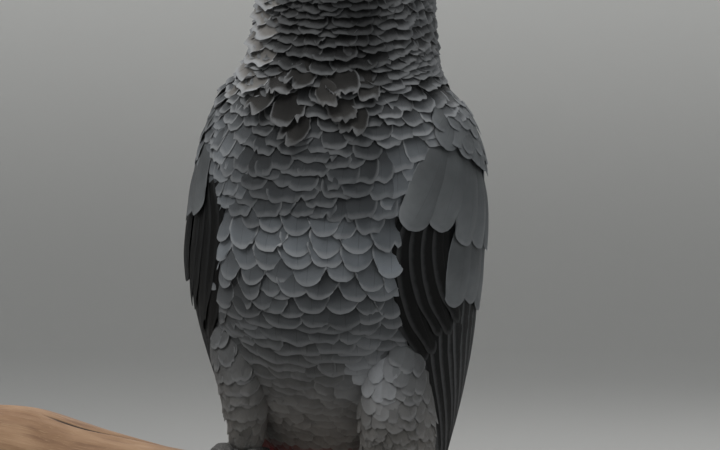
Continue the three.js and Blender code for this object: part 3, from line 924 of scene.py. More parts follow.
def under_wing(place):
    """True well inside a folded wing, where no feathers of the body show. Those of the breast lie further
    over the bend of the right wing than of the left."""
    x, y, z = place[..., 0], place[..., 1], place[..., 2]
    turn = np.degrees(np.arctan2(abs(x), y - axis_y(z)))
    low = follow(z, WING_BACK) + 9 + 34 * smoothstep(16, 2, z)
    high = np.where(x > 0, follow(z, BARE_LEFT), follow(z, BARE_RIGHT))
    return (turn > low) & (turn < high) & (z < WING_TOP + 1)


def unwrap(surface, row, column):
    share = column % surface.columns / surface.columns if surface.closed else column / surface.columns
    return np.stack([0.01 + 0.97 * share, 0.01 + 0.97 * (1 - row / surface.rows)], -1)


def contour_style(place, column, gap, across):
    n = len(gap)
    z = place[:, 2]
    front, turn = front_share(column), from_front(column)
    throat = smoothstep(128, 146, z) * smoothstep(196, 176, z) * smoothstep(0.3, 0.7, front)
    soft = smoothstep(70, 30, z)
    # blunt wide tips join into level wavy bands; on the breast, on the head and behind they stay apart
    banded = 1 - smoothstep(60, 74, z) * smoothstep(106, 97, z)
    banded = banded * smoothstep(10, 30, z) * smoothstep(186, 170, z) * smoothstep(0.1, 0.4, front)
    # feathers that lie over a wing's edge stand higher, and so do those over the wings' upper ends
    over, right_bend = over_wing(z, turn), (place[:, 0] < 0) * smoothstep(104, 122, z)
    over_edge = (0.6 + 1.6 * right_bend) * over * smoothstep(0.75, 0.55, front) * smoothstep(152, 138, z)
    over_top = 1.5 * smoothstep(154, 144, z) * smoothstep(124, 134, z) * smoothstep(1.7, 2.1, turn)
    return {
        "length": gap * mix(2.5, 2.3, throat) * jitter(0.1, n),
        "half": across * mix(0.66, 0.88, banded) * jitter(0.12, n),
        "depth": np.clip(gap * mix(0.34, 0.42, throat), 0.5, 2.6),
        "lift": np.clip(gap * 0.06, 0.1, 0.4) * jitter(0.8, n) + 0.8 * throat * jitter(0.6, n),
        "curl": 0.6 * throat * jitter(0.9, n) - (0.12 + 0.5 * over * (front < 0.7)) * (1 - throat),
        "camber": across * mix(0.06, 0.08, throat) * jitter(0.5, n),
        "roll": rng.uniform(-0.06, 0.06, n) * across,
        "rough": mix(0.015, 0.07, soft) * gap,
        "split": rng.uniform(0, 1, n) ** 8 * gap * 0.5,
        "thick": np.clip(gap * 0.045, 0.1, 0.26),
        "blunt": mix(0.8, 0.2, banded) * jitter(0.25, n),
        "ease": 1.25 + 0 * gap,
        "wave": gap * 0.04 * jitter(0.9, n) + 0.35 * throat * jitter(0.6, n),
        "up": over_edge + over_top,
        "one_side": 0 * gap,
        "ripple": (0.02 + 0.055 * banded) * gap * jitter(0.5, n),
    }


RUFFLES = [
    # height of the tip, degrees round from the front, length, half width, lift, curl, yaw, tone, fringe
    (131, -19, 12, 6.4, 2.0, 1.4, 12, 0.05, 0.8), (124, -26, 13, 6.8, 1.8, 0.8, -8, 0.06, 0.75),
    (133, -4, 12, 5.6, 2.0, 1.4, -14, 0.035, 0.6), (121, -12, 14, 7.0, 2.2, 1.0, 8, 0.03, 0.6),
    (127, 2, 12, 4.6, 2.6, 1.6, 30, 0.07, 0.5), (115, -3, 13, 5.6, 2.2, 0.8, -16, 0.035, 0.45),
    (132, 12, 12, 6.6, 2.0, 1.2, 8, 0.03, 0.6), (123, 11, 13, 5.6, 2.0, 1.0, 14, 0.05, 0.4),
    (131, 26, 12, 6.2, 1.8, 1.0, -10, 0.045, 0.6), (120, 21, 13, 5.8, 1.6, 0.6, -10, 0.04, 0.5),
]


def ruffles():
    """Large disordered feathers at the root of the neck, curled away from the breast, and a bunch of them in
    a column on the right of the throat."""
    feathers = list(RUFFLES)
    for i, tip in enumerate(np.arange(160, 130, -4.9)):
        turn = -44 + 4 * (-1) ** i
        feathers.append((tip, turn, 11.5, 8.6, 1.3, 1.2, 7 * (-1) ** i, 0.25, 1.0))
        feathers.append((tip - 1.6, turn - 26, 11.5, 7.6, 0.6, 0.3, -4, 0.22, 0.95))
    tip, turn, length, half, lift, curl, yaw, tone, fringe = np.array(feathers, float).T
    n, middle = len(tip), turn > -35
    row, column = DOME + HEAD_MIDDLE - tip - length, turn / 360 * ROUND % ROUND
    _, normal = body.at(row, column)
    way = yawed(flow.way(row, column), normal, yaw)
    style = plain_style(
        n, length=length, half=half * np.where(middle, 0.88, 1), depth=0.8, lift=lift, curl=curl, camber=0.6,
        rough=np.where(middle, 0.45, 0.12), wave=rng.uniform(0.5, 1.0, n), thick=0.18, blunt=0.24,
        roll=rng.uniform(-0.6, 0.6, n), split=np.where(middle, 2.6, 0.5), ripple=rng.uniform(0.5, 0.9, n),
        up=0.5)
    made = vanes(body, LARGE, row, column, way, style)
    tint = 0.85 * (tone * np.where(middle, 0.75, 1))[:, None] * [1.04, 1.0, 0.96]
    batch = (*made, tint, fringe * np.where(middle, 0.55, 1), unwrap(body, row, column))
    return vane_mesh("coat_ruffles", LARGE, [batch], body_material, "plumage_head")


def face_roots():
    """Places all over the side of the face, and in rings round the top of the bill, as the bird's left has
    them."""
    y, z = np.meshgrid(np.arange(-60, -16, 1.25), np.arange(166, 222, 1.15))
    y = y + 0.6 * (np.arange(len(y)) % 2)[:, None]
    y, z = (value.ravel() + rng.uniform(-0.3, 0.3, value.size) for value in (y, z))
    cheek = np.stack([np.full(len(y), 12.0), y, z], -1)
    ring, turn = np.meshgrid(np.arange(1.03, 1.42, 0.09), np.radians(np.arange(2, 90, 5.4)))
    turn = turn + 0.045 * (np.arange(ring.shape[1]) % 2)
    ring, turn = (value.ravel() + rng.uniform(-0.012, 0.012, value.size) for value in (ring, turn))
    wide, high = BILL_ROOT
    brow = np.stack([wide * ring * np.cos(turn), np.full(ring.size, -47.0),
                     FACE_Z + high * ring * np.sin(turn)], -1)
    return np.concatenate([cheek, brow]), np.arange(len(cheek) + len(brow)) < len(cheek)


def face_coat():
    """Tiny feathers where the coat ends at the bare face and the bill, and sparse white down on the face."""
    roots, cheek = face_roots()
    sparse = rng.uniform(size=len(roots)) < 0.5
    batches = []
    for _, side in SIDES:
        all_rows, all_columns = locate(roots * [side, 1, 1])
        place, normal = body.at(all_rows, all_columns)
        bare, beak, eye = bare_face(place), from_bill(place), from_eye(place)
        edge = ((bare > 0.03) | (beak < 1.2) | ~cheek) & (bare < 0.9) & (beak > 0.98)
        edge = edge & ((abs(normal[:, 0]) > 0.25) | ~cheek) & (eye > 6.4)
        down = (bare >= 0.9) & (eye > 7) & (beak > 1.1) & sparse & cheek
        for chosen, length, half, white in ((edge, 3.1, 0.9, 0.0), (down, 1.5, 0.24, 1.0)):
            row, column, depth = all_rows[chosen], all_columns[chosen], bare[chosen]
            n = len(row)
            style = plain_style(n, length=length * jitter(0.2, n) * (1 - 0.3 * depth),
                                half=half * jitter(0.2, n), depth=0.25, lift=0.1, thick=0.07, blunt=0.7,
                                camber=0.05, curl=-0.05)
            made = vanes(body, SMALL, row, column, flow.way(row, column), style)
            tint, fringe = coat_colour(place[chosen], column)
            pale = np.maximum(white, 0.75 * depth)[:, None] * [0.6, 0.58, 0.55]
            tint = np.maximum(0.8 * tint * (1 - depth[:, None]), pale) * jitter(0.1, n)[:, None]
            fringe = fringe * (1 - white) * (1 - depth)
            batches.append((*made, tint, fringe, unwrap(body, row, column)))
    return vane_mesh("coat_face", SMALL, batches, face_material, "plumage_head")


def contour_coat():
    row, column, gap, across = contour_roots()
    wander = ripples(column / ROUND * math.tau * 3, row / 17, seed=41, count=9, low=1, high=4)
    row = row + 0.22 * wander * gap * smoothstep(DOME + 10, DOME + 40, row)
    place, _ = body.at(row, column)
    keep = ~under_wing(place) & (bare_face(place) < 0.5) & (from_bill(place) > 1)
    row, column, gap, across, place = (values[keep] for values in (row, column, gap, across, place))
    style = contour_style(place, column, gap, across)
    _, normal = body.at(row, column)
    way = yawed(flow.way(row, column), normal, rng.normal(0, 5, len(row)))
    tint, fringe = coat_colour(place, column)
    tint = tint * jitter(0.18, len(row))[:, None]
    fringe = fringe * rng.uniform(0.7, 1.15, len(row))
    spot = unwrap(body, row, column)
    z, front, small = place[:, 2], front_share(column) > 0.5, gap < 3.1
    head, low = z > 128, z <= 72
    groups = [
        ("coat_crown", SMALL, small & (z > 205), body_material, "plumage_head"),
        ("coat_cheek", SMALL, small & (z > 90) & (z <= 205), body_material, "plumage_head"),
        ("coat_vent", SMALL, small & (z <= 90), down_material, "plumage_body"),
        ("coat_throat", MEDIUM, ~small & head & front, neck_material, "plumage_head"),
        ("coat_nape", MEDIUM, ~small & head & ~front, body_material, "plumage_head"),
        ("coat_breast", MEDIUM, ~small & ~head & ~low & front, body_material, "plumage_body"),
        ("coat_belly", MEDIUM, ~small & low & (z > 46) & front, body_material, "plumage_body"),
        ("coat_flank", MEDIUM, ~small & (z <= 46) & front, down_material, "plumage_body"),
        ("coat_back", MEDIUM, ~small & ~head & ~front, body_material, "plumage_body"),
    ]
    for name, kind, chosen, material, slot in groups:
        made = vanes(body, kind, row[chosen], column[chosen], way[chosen],
                     {key: value[chosen] for key, value in style.items()})
        vane_mesh(name, kind, [(*made, tint[chosen], fringe[chosen], spot[chosen])], material, slot)


# ----
# Folded wings: rows of coverts over long quills, worked out on the left and mirrored for the right
WING_STEP, WING_MARGIN = 1.5, 0.12
LONG = Vane(fine_tip(30), fine_edges(9))


def wing_surface():
    """The outer side of the left wing. Columns run from its back edge, 0, to its front edge, 1."""
    tree = tree_of("wing_left")
    heights = np.arange(WING_TOP, -72, -WING_STEP)
    far = 90  # mm from the axis, beyond the wing

    def reach(z, turn):
        middle = Vector((0, axis_y(z), z))
        way = Vector((math.sin(turn), math.cos(turn), 0))
        hit = tree.ray_cast(middle + way * far, -way, far)[0]
        return np.nan if hit is None else (hit - middle).length

    turns = np.radians(np.arange(0, 140, 1.0))
    edges = []
    for z in heights:
        hits = np.flatnonzero(~np.isnan([reach(z, turn) for turn in turns]))
        edges.append(turns[hits[[0, -1]]] if len(hits) else [np.nan, np.nan])
    edges = soften(fill_gaps(np.array(edges).T).T, 5, 0, False)
    back, wide = edges[:, :1], edges[:, 1:] - edges[:, :1]
    share = np.linspace(-WING_MARGIN, 1 + WING_MARGIN, 40)
    turn, held = back + wide * share, back + wide * np.clip(share, 0.02, 0.98)
    radius = fill_gaps(np.array([[reach(z, t) for t in line] for z, line in zip(heights, held)]))
    radius = fill_gaps(radius.T).T
    radius = soften(soften(radius, 10, 0, False), 6, 1, False)
    radius -= 22 * np.maximum(0, abs(share - 0.5) - 0.5) ** 1.2
    height = heights[:, None] + 0 * radius
    points = np.stack([radius * np.sin(turn), axis_y(height) + radius * np.cos(turn), height], -1)
    return Surface(points, False, lambda p: p * [1, 0, 0])


wing = wing_surface()
BLUISH = np.array([0.94, 1.0, 1.05])


def on_wing(z, share):
    """Row and column of a height and a share of the way from the back edge to the front edge."""
    z, share = np.broadcast_arrays(np.asarray(z, float), np.asarray(share, float))
    column = (share + WING_MARGIN) / (1 + 2 * WING_MARGIN) * (wing.columns - 1)
    return (WING_TOP - z) / WING_STEP, column


PLAIN = {
    "length": 12, "half": 5, "depth": 1.2, "lift": 0.3, "curl": -0.1, "camber": 0.5, "roll": 0,
    "rough": 0.12, "split": 0, "thick": 0.22, "blunt": 0.95, "ease": 1.3, "wave": 0.08, "up": 0,
    "one_side": 0, "ripple": 0,
}


def plain_style(n, **changes):
    """The style of a plain feather with some changes, for n of them."""
    style = {**PLAIN, **changes}
    return {key: np.broadcast_to(np.asarray(value, float), (n,)).copy() for key, value in style.items()}


def covert_row(kind, tip, length, half, shares, tone, fringe, **changes):
    """One row of coverts across the wing, from the height of their tips in front."""
    n = len(shares)
    shares = shares + rng.uniform(-0.006, 0.006, n)
    # rows slope down towards the back
    tips = tip - 17 * np.maximum(0.86 - shares, 0) ** 1.1 + rng.uniform(-1.6, 1.6, n)
    roots = np.minimum(tips + length * rng.uniform(0.94, 1.06, n), WING_TOP - 1)
    row, column = on_wing(roots, shares)
    _, normal = wing.at(row, column)
    way = yawed(unit(wing.read(wing.along, row, column)), normal, rng.normal(0, 2.5, n))
    style = plain_style(n, length=roots - tips, half=half * rng.uniform(0.94, 1.06, n), **changes)
    made = vanes(wing, kind, row, column, way, style)
    grey = tone * rng.uniform(0.93, 1.07, n)
    return (*made, grey[:, None] * BLUISH, fringe * rng.uniform(0.7, 1.1, n), unwrap(wing, row, column))


def shares_across(z, gap, low, high, shift):
    """Shares of the wing's width, a set distance apart at one height."""
    share = np.linspace(low, high, 60)
    row, column = on_wing(np.full(60, z), share)
    place, _ = wing.at(row, column)
    run = np.concatenate([[0], np.cumsum(np.linalg.norm(np.diff(place, axis=0), axis=-1))])
    count = max(1, int(run[-1] / gap))
    return np.interp((np.arange(count) + 0.5 + shift) * run[-1] / count, run, share)


# tips' height, length, half width, foremost share and height over the wing, from the lowest row up
GREATER_COVERTS = [(67, 36, 7.4, 0.75, 1.2), (89, 34, 7.8, 0.92, 1.5), (113, 26, 7.6, 0.97, 1.8)]


def wing_coverts(name, side):
    forward = 1.02 if side > 0 else 0.84  # how far forward the wing is clear of the breast's feathers
    small, large = [], []
    for i, tip in enumerate(np.arange(132, 114, -4.6)):
        shares = shares_across(tip, 7.4, 0.02, forward, 0.25 if i % 2 else -0.25)
        small.append(covert_row(MEDIUM, tip, 14, 5.9, shares, 0.12, 0.5, up=2.0))
    for i, (tip, length, half, first, up) in enumerate(GREATER_COVERTS):
        shares = np.arange(min(first, forward), 0.03, -0.108)
        # painted shade: the foremost of the lowest row on the right wing are painted as dark as the quills
        # under them
        painted_shade = 1 - 0.9 * smoothstep(0.5, 0.66, shares) * (side < 0 and i == 0)
        large.append(covert_row(LARGE, tip, length, half, shares, 0.135 * painted_shade, 0.4 * painted_shade, up=up,
                                camber=1.2, lift=0.45, wave=0.2, curl=-0.4, blunt=0.8))
    # scapulars, over the wing's back edge
    for i, tip in enumerate((112, 98, 84, 70)):
        shares = np.array([-0.06, 0.02, 0.1, 0.18]) + (0.04 if i % 2 else 0)
        large.append(covert_row(LARGE, tip, 26, 7.4, shares, 0.11, 0.4, up=2.5))
    vane_mesh(f"coverts_lesser_{name}", MEDIUM, small, covert_material, "plumage_wing", side)
    vane_mesh(f"coverts_greater_{name}", LARGE, large, covert_material, "plumage_wing", side)


def quills(surface, kind, roots, tips, half, point, bow, style):
    """Long feathers on a surface, from (row, column) to (row, column), bowed sideways by some columns."""
    v = kind.v
    row = roots[0][:, None] + (tips[0] - roots[0])[:, None] * v
    column = roots[1][:, None] + (tips[1] - roots[1])[:, None] * smoothstep(-0.15, 1.1, v)
    column = column + bow * np.sin(math.pi * v ** 0.8)
    place, _ = surface.at(row, column)
    ways = unit(np.gradient(place, v, axis=1))
    length = np.linalg.norm(np.diff(place, axis=1), axis=-1).sum(1)
    get = plain_style(len(row), half=half, length=length, **style)
    get["shape"] = mix(0.5, 1, smoothstep(0, 0.25, v)) * (1 - point * smoothstep(0.7, 1, v) ** 1.5)
    return spread(surface, kind, row, column, ways, get)


QUILLS = [
    # count, root height, root shares, tip heights, tip shares, half widths, point, height over the wing,
    # tone, margin, bow, then how unevenly the tips end and how far down their line is bowed
    (4, 104, (0.02, 0.2), (30, 6), (0.05, 0.22), (8.8, 8.4), 0.25, (1.3, 0.8), 0.05, 0.6, 0.0, 1, 0),
    (7, 88, (0.28, 0.66), (2, -18), (0.28, 0.52), (8.2, 7.4), 0.3, (0.7, -0.2), 0.012, 0.9, 0.1, 1, 0),
    (6, 80, (0.72, 1.0), (-28, -60), (0.42, 0.76), (7.0, 5.4), 0.5, (-0.3, -1.4), 0.008, 0.8, 0.12, 1, 16),
    # the alula and the coverts of the primaries, near black along the front edge
    (5, 101, (0.84, 1.04), (62, 44), (0.8, 1.02), (4.4, 4.8), 0.45, (0.1, -0.5), 0.004, 0.42, 0.05, 6, 0),
]
TERTIALS = QUILLS[0][1]  # the height of their roots


def flight_feathers(name, side):
    """Tertials, secondaries and primaries, each lying over the next one in front of it. The outer web, the
    one nearer the wing's front edge, ends in a pale grey margin."""
    batches = []
    for n, root, root_shares, tips, tip_shares, half, point, up, tone, margin, bow, uneven, sag in QUILLS:
        shares, ends = np.linspace(*root_shares, n), np.linspace(*tip_shares, n)
        heights = np.linspace(*tips, n) + rng.uniform(-1, 1, n) * uneven
        heights = heights - sag * np.sin(np.linspace(0.5, 2.6, n))
        style = {"depth": 0.6, "lift": 0.3, "camber": 0.5, "roll": 0.45, "rough": 0.05, "curl": 0.0,
                 "thick": 0.3, "wave": 0.05, "up": np.linspace(*up, n),
                 "split": rng.uniform(0, 1, n) ** 4 * 2, "one_side": 1}
        row, column = on_wing(np.full(n, float(root)), shares)
        made = quills(wing, LONG, (row, column), on_wing(heights, ends), np.linspace(*half, n), point,
                      bow * wing.columns, style)
        tint = np.full((n, 3), tone) * BLUISH * rng.uniform(0.88, 1.12, (n, 1))
        # painted shade: the right wing is almost black in front, its quills' pale margins dimmed
        margin = margin * (0.4 if side < 0 and root < TERTIALS else 1) * rng.uniform(0.85, 1.05, n)
        batches.append((*made, tint, margin, unwrap(wing, row, column)))
    return vane_mesh(f"quills_{name}", LONG, batches, quill_material, "plumage_wing", side)


# ----
# Tail: twelve quills, and short red coverts over and under their roots
TAIL = {"root": (44, 2), "tip": (80, -82), "width": (15, 26), "arch": 6, "rounding": 7}
# the tail's grid: its first and last share of the length, the same across, and its rows and columns
TAIL_RUN, TAIL_SIDE, TAIL_ROWS, TAIL_COLUMNS = (-0.12, 1.02), 1.15, 60, 40


def tail_surface(face):
    """The upper side of the closed tail for face 1, the under side for face -1."""
    root, tip = np.array(TAIL["root"], float), np.array(TAIL["tip"], float)
    along = tip - root
    out = np.array([-along[1], along[0]]) / np.linalg.norm(along)
    u = np.linspace(*TAIL_RUN, TAIL_ROWS)[:, None]
    across = np.linspace(-TAIL_SIDE, TAIL_SIDE, TAIL_COLUMNS)[None, :]
    far = u * (1 - TAIL["rounding"] / np.linalg.norm(along) * across**2)
    up = -TAIL["arch"] * across**2 * mix(0.6, 1, u) + face * 0.6
    x = across * mix(*TAIL["width"], np.sqrt(np.clip(u, 0, 1)))
    points = np.stack([x, *(root[i] + along[i] * far + out[i] * up for i in (0, 1))], -1)
    return Surface(points, False, lambda p: face * np.array([0, out[0], out[1]]) + 0 * p)


def on_tail(u, across):
    """Row and column of a share of the tail's length and a place across it, -1 to 1."""
    row = (np.asarray(u, float) - TAIL_RUN[0]) / (TAIL_RUN[1] - TAIL_RUN[0]) * (TAIL_ROWS - 1)
    return row, (np.asarray(across, float) + TAIL_SIDE) / (2 * TAIL_SIDE) * (TAIL_COLUMNS - 1)


def tail_feathers():
    """Twelve quills, the middle ones on top, and rows of coverts on both sides of their roots."""
    above, below = tail_surface(1), tail_surface(-1)
    slots = np.array([-5, 5, -4, 4, -3, 3, -2, 2, -1, 1, -0.3, 0.3])
    n = len(slots)
    style = {"depth": 0.0, "lift": 0.0, "camber": 0.5, "roll": -0.25 * np.sign(slots), "rough": 0.08,
             "curl": 0.0, "thick": 0.35, "wave": 0.1, "up": 0.9 - 0.38 * abs(slots),
             "split": rng.uniform(0, 1, n) ** 3 * 3}
    roots, tips = on_tail(np.zeros(n), slots * 0.05), on_tail(1 - 0.012 * abs(slots), slots * 0.155)
    made = quills(above, LONG, roots, tips, np.full(n, 6.6), 0.25, 0, style)
    red = np.array([0.5, 0.016, 0.014]) * rng.uniform(0.85, 1.1, (n, 1))
    batch = (*made, red, np.full(n, 0.35), unwrap(above, *roots))
    quills_piece = vane_mesh("tail_quills", LONG, [batch], tail_material, "plumage_tail")
    batches = []
    for surface, (end, start), lift, half in ((above, (-0.1, 0.3), 1.2, 0), (below, (-0.1, 0.42), 1.4, 0.5)):
        for i, u in enumerate(np.arange(start, end, -0.055)):
            across = np.linspace(-0.78, 0.78, 7) + (0.12 if i % 2 else 0)
            n = len(across)
            row, column = on_tail(np.full(n, u), across)
            way = unit(surface.read(surface.along, row, column))
            style = plain_style(n, length=rng.uniform(15, 19, n), half=4.6, depth=0.6, lift=0.5, rough=0.25,
                                curl=0.1, up=lift * (1 - abs(across)) + 0.6)
            made = vanes(surface, MEDIUM, row, column, way, style)
            tint = np.array([0.42, 0.014, 0.014]) * rng.uniform(0.8, 1.15, (n, 1))
            # the two sides of the tail lie side by side on its unwrap
            spot = unwrap(surface, row, column) * [0.5, 1] + [half, 0]
            batches.append((*made, tint, np.full(n, 0.25), spot))
    vane_mesh("tail_coverts", MEDIUM, batches, tail_material, "plumage_tail")
    return quills_piece


# ----
# Thighs: soft loose feathers round each leg down to the shank
DOWNY = Vane(fine_tip(10), fine_edges(9))
FEET_APART = 54
# Points down the middle of each thigh, x from its foot, with half its width and depth on the way.
THIGH = {
    1: {
        "path": [(0, 2, 58), (0, -3, 44), (1, -3, 28), (2, 0, 12), (1, 0.5, 6)],
        "girth": [(10, 14), (12.8, 19), (12.4, 18), (12.8, 15.5), (12.8, 12), (8, 7.5)],
    },
    -1: {
        "path": [(0, 2, 58), (1, -3, 44), (2, -3, 28), (1, 0, 12), (0, 0.5, 6)],
        "girth": [(10, 14), (14, 20), (11.2, 17), (7.8, 12), (6, 8), (4.8, 5)],
    },
}


def loft(middle, side, front, columns):
    """A closed tube: each row is a ring round its middle."""
    turn = around(columns)[:, None]
    return middle[:, None] + side[:, None] * np.cos(turn) + front[:, None] * np.sin(turn)


def thigh_points(which, grow, columns=64):
    t = np.linspace(0, 1, 56)
    path = through(THIGH[which]["path"], t)
    girth = through(THIGH[which]["girth"], t) + grow
    ahead = unit(np.gradient(path, axis=0))
    side = np.stack([girth[:, 0], 0 * t, 0 * t], -1)
    front = np.stack([0 * t, ahead[:, 2], -ahead[:, 1]], -1) * girth[:, 1:]
    return loft(path + [which * FEET_APART / 2, 0, 0], side, front, columns)


def round_body(place):
    """How far round the body a place is, from the middle of the front towards the bird's left."""
    return np.arctan2(place[..., 0], -(place[..., 1] - axis_y(place[..., 2])))


def inside_body(place, margin):
    """True where a point lies deeper than the margin under the body's coat."""
    z = place[..., 2]
    row = np.interp(-z, -body.points[DOME:, 0, 2], np.arange(DOME, body.rows))
    shell, _ = body.at(row, round_body(place) / math.tau * ROUND)
    centre = np.stack([0 * z, axis_y(z), z], -1)
    return np.linalg.norm(place - centre, axis=-1) < np.linalg.norm(shell - centre, axis=-1) - margin


def thigh_coat(name, side):
    columns, row_step, across = 64, 3.6, 3.4
    surface = Surface(thigh_points(side, 0, columns), True, lambda p: p - p.mean(1, keepdims=True))
    run = np.linalg.norm(np.diff(surface.points[:, 0], axis=0), axis=-1).cumsum()
    batches = []
    for i, down in enumerate(np.arange(4, run[-1] - 3, row_step)):
        level = np.interp(down, run, np.arange(1, surface.rows))
        ring, _ = surface.at(np.full(columns, level), np.arange(float(columns)))
        n = int(np.linalg.norm(np.roll(ring, 1, 0) - ring, axis=-1).sum() / across)
        column = (np.arange(n) + (0.5 if i % 2 else 0) + rng.uniform(-0.2, 0.2, n)) * columns / n
        row = level + rng.uniform(-0.6, 0.6, n)
        place, normal = surface.at(row, column)
        # not where the body or the wing lies over it
        behind = 180 - follow(place[:, 2], WING_FRONT) + 2
        shown = (place[:, 2] < 20) | (abs(np.degrees(round_body(place))) < behind)
        shown = shown & ~inside_body(place, 2.5)
        row, column, place, normal = (values[shown] for values in (row, column, place, normal))
        n = len(row)
        if not n:
            continue
        way = yawed(unit(surface.read(surface.along, row, column)), normal, rng.normal(0, 8, n))
        flank = smoothstep(24, 33, place[:, 2])  # the flank's large soft feathers hang over the thigh
        style = plain_style(
            n, length=rng.uniform(10, 13, n), half=mix(2.7, 4.6, flank) * rng.uniform(0.85, 1.1, n),
            depth=0.8, lift=0.1 + 0.5 * flank, rough=mix(0.35, 0.2, flank), thick=0.12, wave=0.15,
            curl=rng.uniform(-0.4, 0.2, n), split=rng.uniform(0, 1, n), camber=mix(0.35, 0.7, flank),
            up=0.7 * flank)
        made = vanes(surface, DOWNY, row, column, way, style)
        tint, fringe = coat_colour(place, round_body(place) / math.tau * ROUND)
        tint = mix(np.array([0.135, 0.13, 0.123]), tint, flank[:, None]) * rng.uniform(0.9, 1.1, (n, 1))
        fringe = mix(rng.uniform(0.05, 0.2, n), fringe, flank)
        batches.append((*made, tint, fringe, unwrap(surface, row, column)))
    return vane_mesh(f"thigh_coat_{name}", DOWNY, batches, down_material, "plumage_body")


# ----
# Plain meshes: closed shells made of grids of points
class Shell:
    """Points and faces of a mesh in the making, with one value of each named map for every point."""

    def __init__(self):
        self.points, self.faces, self.maps = [], [], {}

    def grid(self, points, closed=True, caps=True, **maps):
        """Adds a grid. closed joins its last column to its first, and caps shut its first and last row."""
        rows, columns = points.shape[:2]
        start = sum(len(p) for p in self.points)
        index = start + np.arange(rows * columns).reshape(rows, columns)
        beside = np.roll(index, -1, 1) if closed else index[:, 1:]
        here = index if closed else index[:, :-1]
        self.faces += np.stack([here[:-1], beside[:-1], beside[1:], here[1:]], -1).reshape(-1, 4).tolist()
        ends = np.stack([points[0].mean(0), points[-1].mean(0)]) if caps else np.zeros((0, 3))
        self.points.append(np.concatenate([points.reshape(-1, 3), ends]))
        if caps:
            for centre, ring in ((0, index[0]), (1, index[-1, ::-1])):
                middle = start + rows * columns + centre
                self.faces += [[middle, b, a] for a, b in zip(ring.tolist(), np.roll(ring, -1).tolist())]
        for key, value in maps.items():
            value = np.broadcast_to(np.asarray(value, float), (rows, columns))
            tail = [value[0].mean(), value[-1].mean()] if caps else []
            self.maps.setdefault(key, []).append(np.concatenate([value.ravel(), tail]))

    def mesh(self, name, where):
        data = bpy.data.meshes.new(name)
        data.from_pydata(where.out(np.concatenate(self.points)).tolist(), [], self.faces)
        turned = bmesh.new()
        turned.from_mesh(data)
        bmesh.ops.recalc_face_normals(turned, faces=turned.faces)
        turned.to_mesh(data)
        turned.free()
        for key, values in self.maps.items():
            add_map(data, key, np.concatenate(values))
        smooth_faces(data)
        return data


def one_skin(name, shell, where, voxel, passes):
    """The outside of overlapping shells as one closed mesh of small even faces."""
    rough = link(name, shell.mesh(name, where))
    remesh = rough.modifiers.new("voxels", "REMESH")
    remesh.mode, remesh.voxel_size = "VOXEL", voxel * MM
    smooth = rough.modifiers.new("smooth", "SMOOTH")
    smooth.factor, smooth.iterations = 0.5, passes
    made = bpy.data.meshes.new_from_object(rough.evaluated_get(bpy.context.evaluated_depsgraph_get()))
    bpy.data.objects.remove(rough)
    smooth_faces(made)
    return made


def points_of(mesh, where):
    """A mesh's points in another frame, mm."""
    co = np.zeros(len(mesh.vertices) * 3)
    mesh.vertices.foreach_get("co", co)
    return where.back(co.reshape(-1, 3))


def normals_of(mesh, where):
    way = np.zeros(len(mesh.vertices) * 3)
    mesh.vertex_normals.foreach_get("vector", way)
    return where.turn_back(way.reshape(-1, 3))


def move_points(mesh, where, points):
    mesh.vertices.foreach_set("co", where.out(points).ravel())
    mesh.update()


def paint(mesh, tint, kind):
    """Colour and kind of every point, for the material: RGB and A of the map called coat."""
    add_map(mesh, "coat", np.concatenate([tint, np.broadcast_to(kind, tint.shape[:1])[:, None]], 1), True)


# ----
# Skin of the body: it lies under the coat and shows on the face
BARE = np.array([0.6, 0.575, 0.545])  # the face's white skin


def locate(place):
    """Row and column of the body's grid seen from the middle line through a place."""
    x, z = place[..., 0], place[..., 2]
    y = place[..., 1] - axis_y(np.clip(z, BODY_END + 1, HEAD_MIDDLE))
    rise = np.degrees(np.arctan2(z - HEAD_MIDDLE, np.hypot(x, y)))
    drop = np.degrees(np.arctan2(BODY_END - z, np.hypot(x, y)))
    dome = np.interp(-rise, [-89, -1.5, 0], [0, DOME - 1, DOME])
    end = np.interp(drop, [0, 80], [DOME + WALL - 1, body.rows - 1])
    row = np.where(z > HEAD_MIDDLE, dome, DOME + HEAD_MIDDLE - z)
    return np.where(z < BODY_END + 1, end, row), np.arctan2(x, -y) / math.tau * ROUND


def bare_face(place):
    """1 on the white skin round the eye, 0 where the head is feathered."""
    x, y, z = abs(place[..., 0]), place[..., 1], place[..., 2]
    high = np.where(z > FACE_Z, 8.8, 9.0 + 3.0 * smoothstep(-30, -44, y))
    reach = np.hypot((y + 37.5) / 14.0, (z - FACE_Z) / high)
    return smoothstep(1.08, 0.92, reach) * smoothstep(5, 8, x)


def from_bill(place):
    """Below 1 on the part of the face that the bill and the cere grow from, and more outside it."""
    x, y, z = place[..., 0], place[..., 1], place[..., 2]
    upper = np.hypot(x / BILL_ROOT[0], (z - FACE_Z) / BILL_ROOT[1])
    lower = np.hypot(x / CHIN_ROOT[0], (z - 180) / CHIN_ROOT[1])
    return np.where(y < -36, np.minimum(upper, lower), 9.0)


def eye_frame(side):
    """Middle of one eye, the way it looks, and two directions across it."""
    middle = EYE_MIDDLE * [side, 1, 1]
    row, column = locate(middle)
    _, out = body.at(row, column)
    up = unit(np.array([0, 0, 1.0]) - out * out[2])
    return middle, out, up, np.cross(out, up)


def from_eye(place):
    """Distance of places from the axis of the nearer eye."""
    middle, out, _, _ = eye_frame(1)
    gap = place * np.where(place[..., :1] < 0, [-1, 1, 1], [1, 1, 1]) - middle
    return np.linalg.norm(gap - out * (gap @ out)[..., None], axis=-1)


def skin_tint(place):
    """Colour of the skin, like the coat over it, and how bare it is."""
    _, column = locate(place)
    tint, _ = coat_colour(place, column)
    face = bare_face(place) * (place[..., 1] < -20)
    return mix(tint * 0.7, BARE, face[..., None]), face


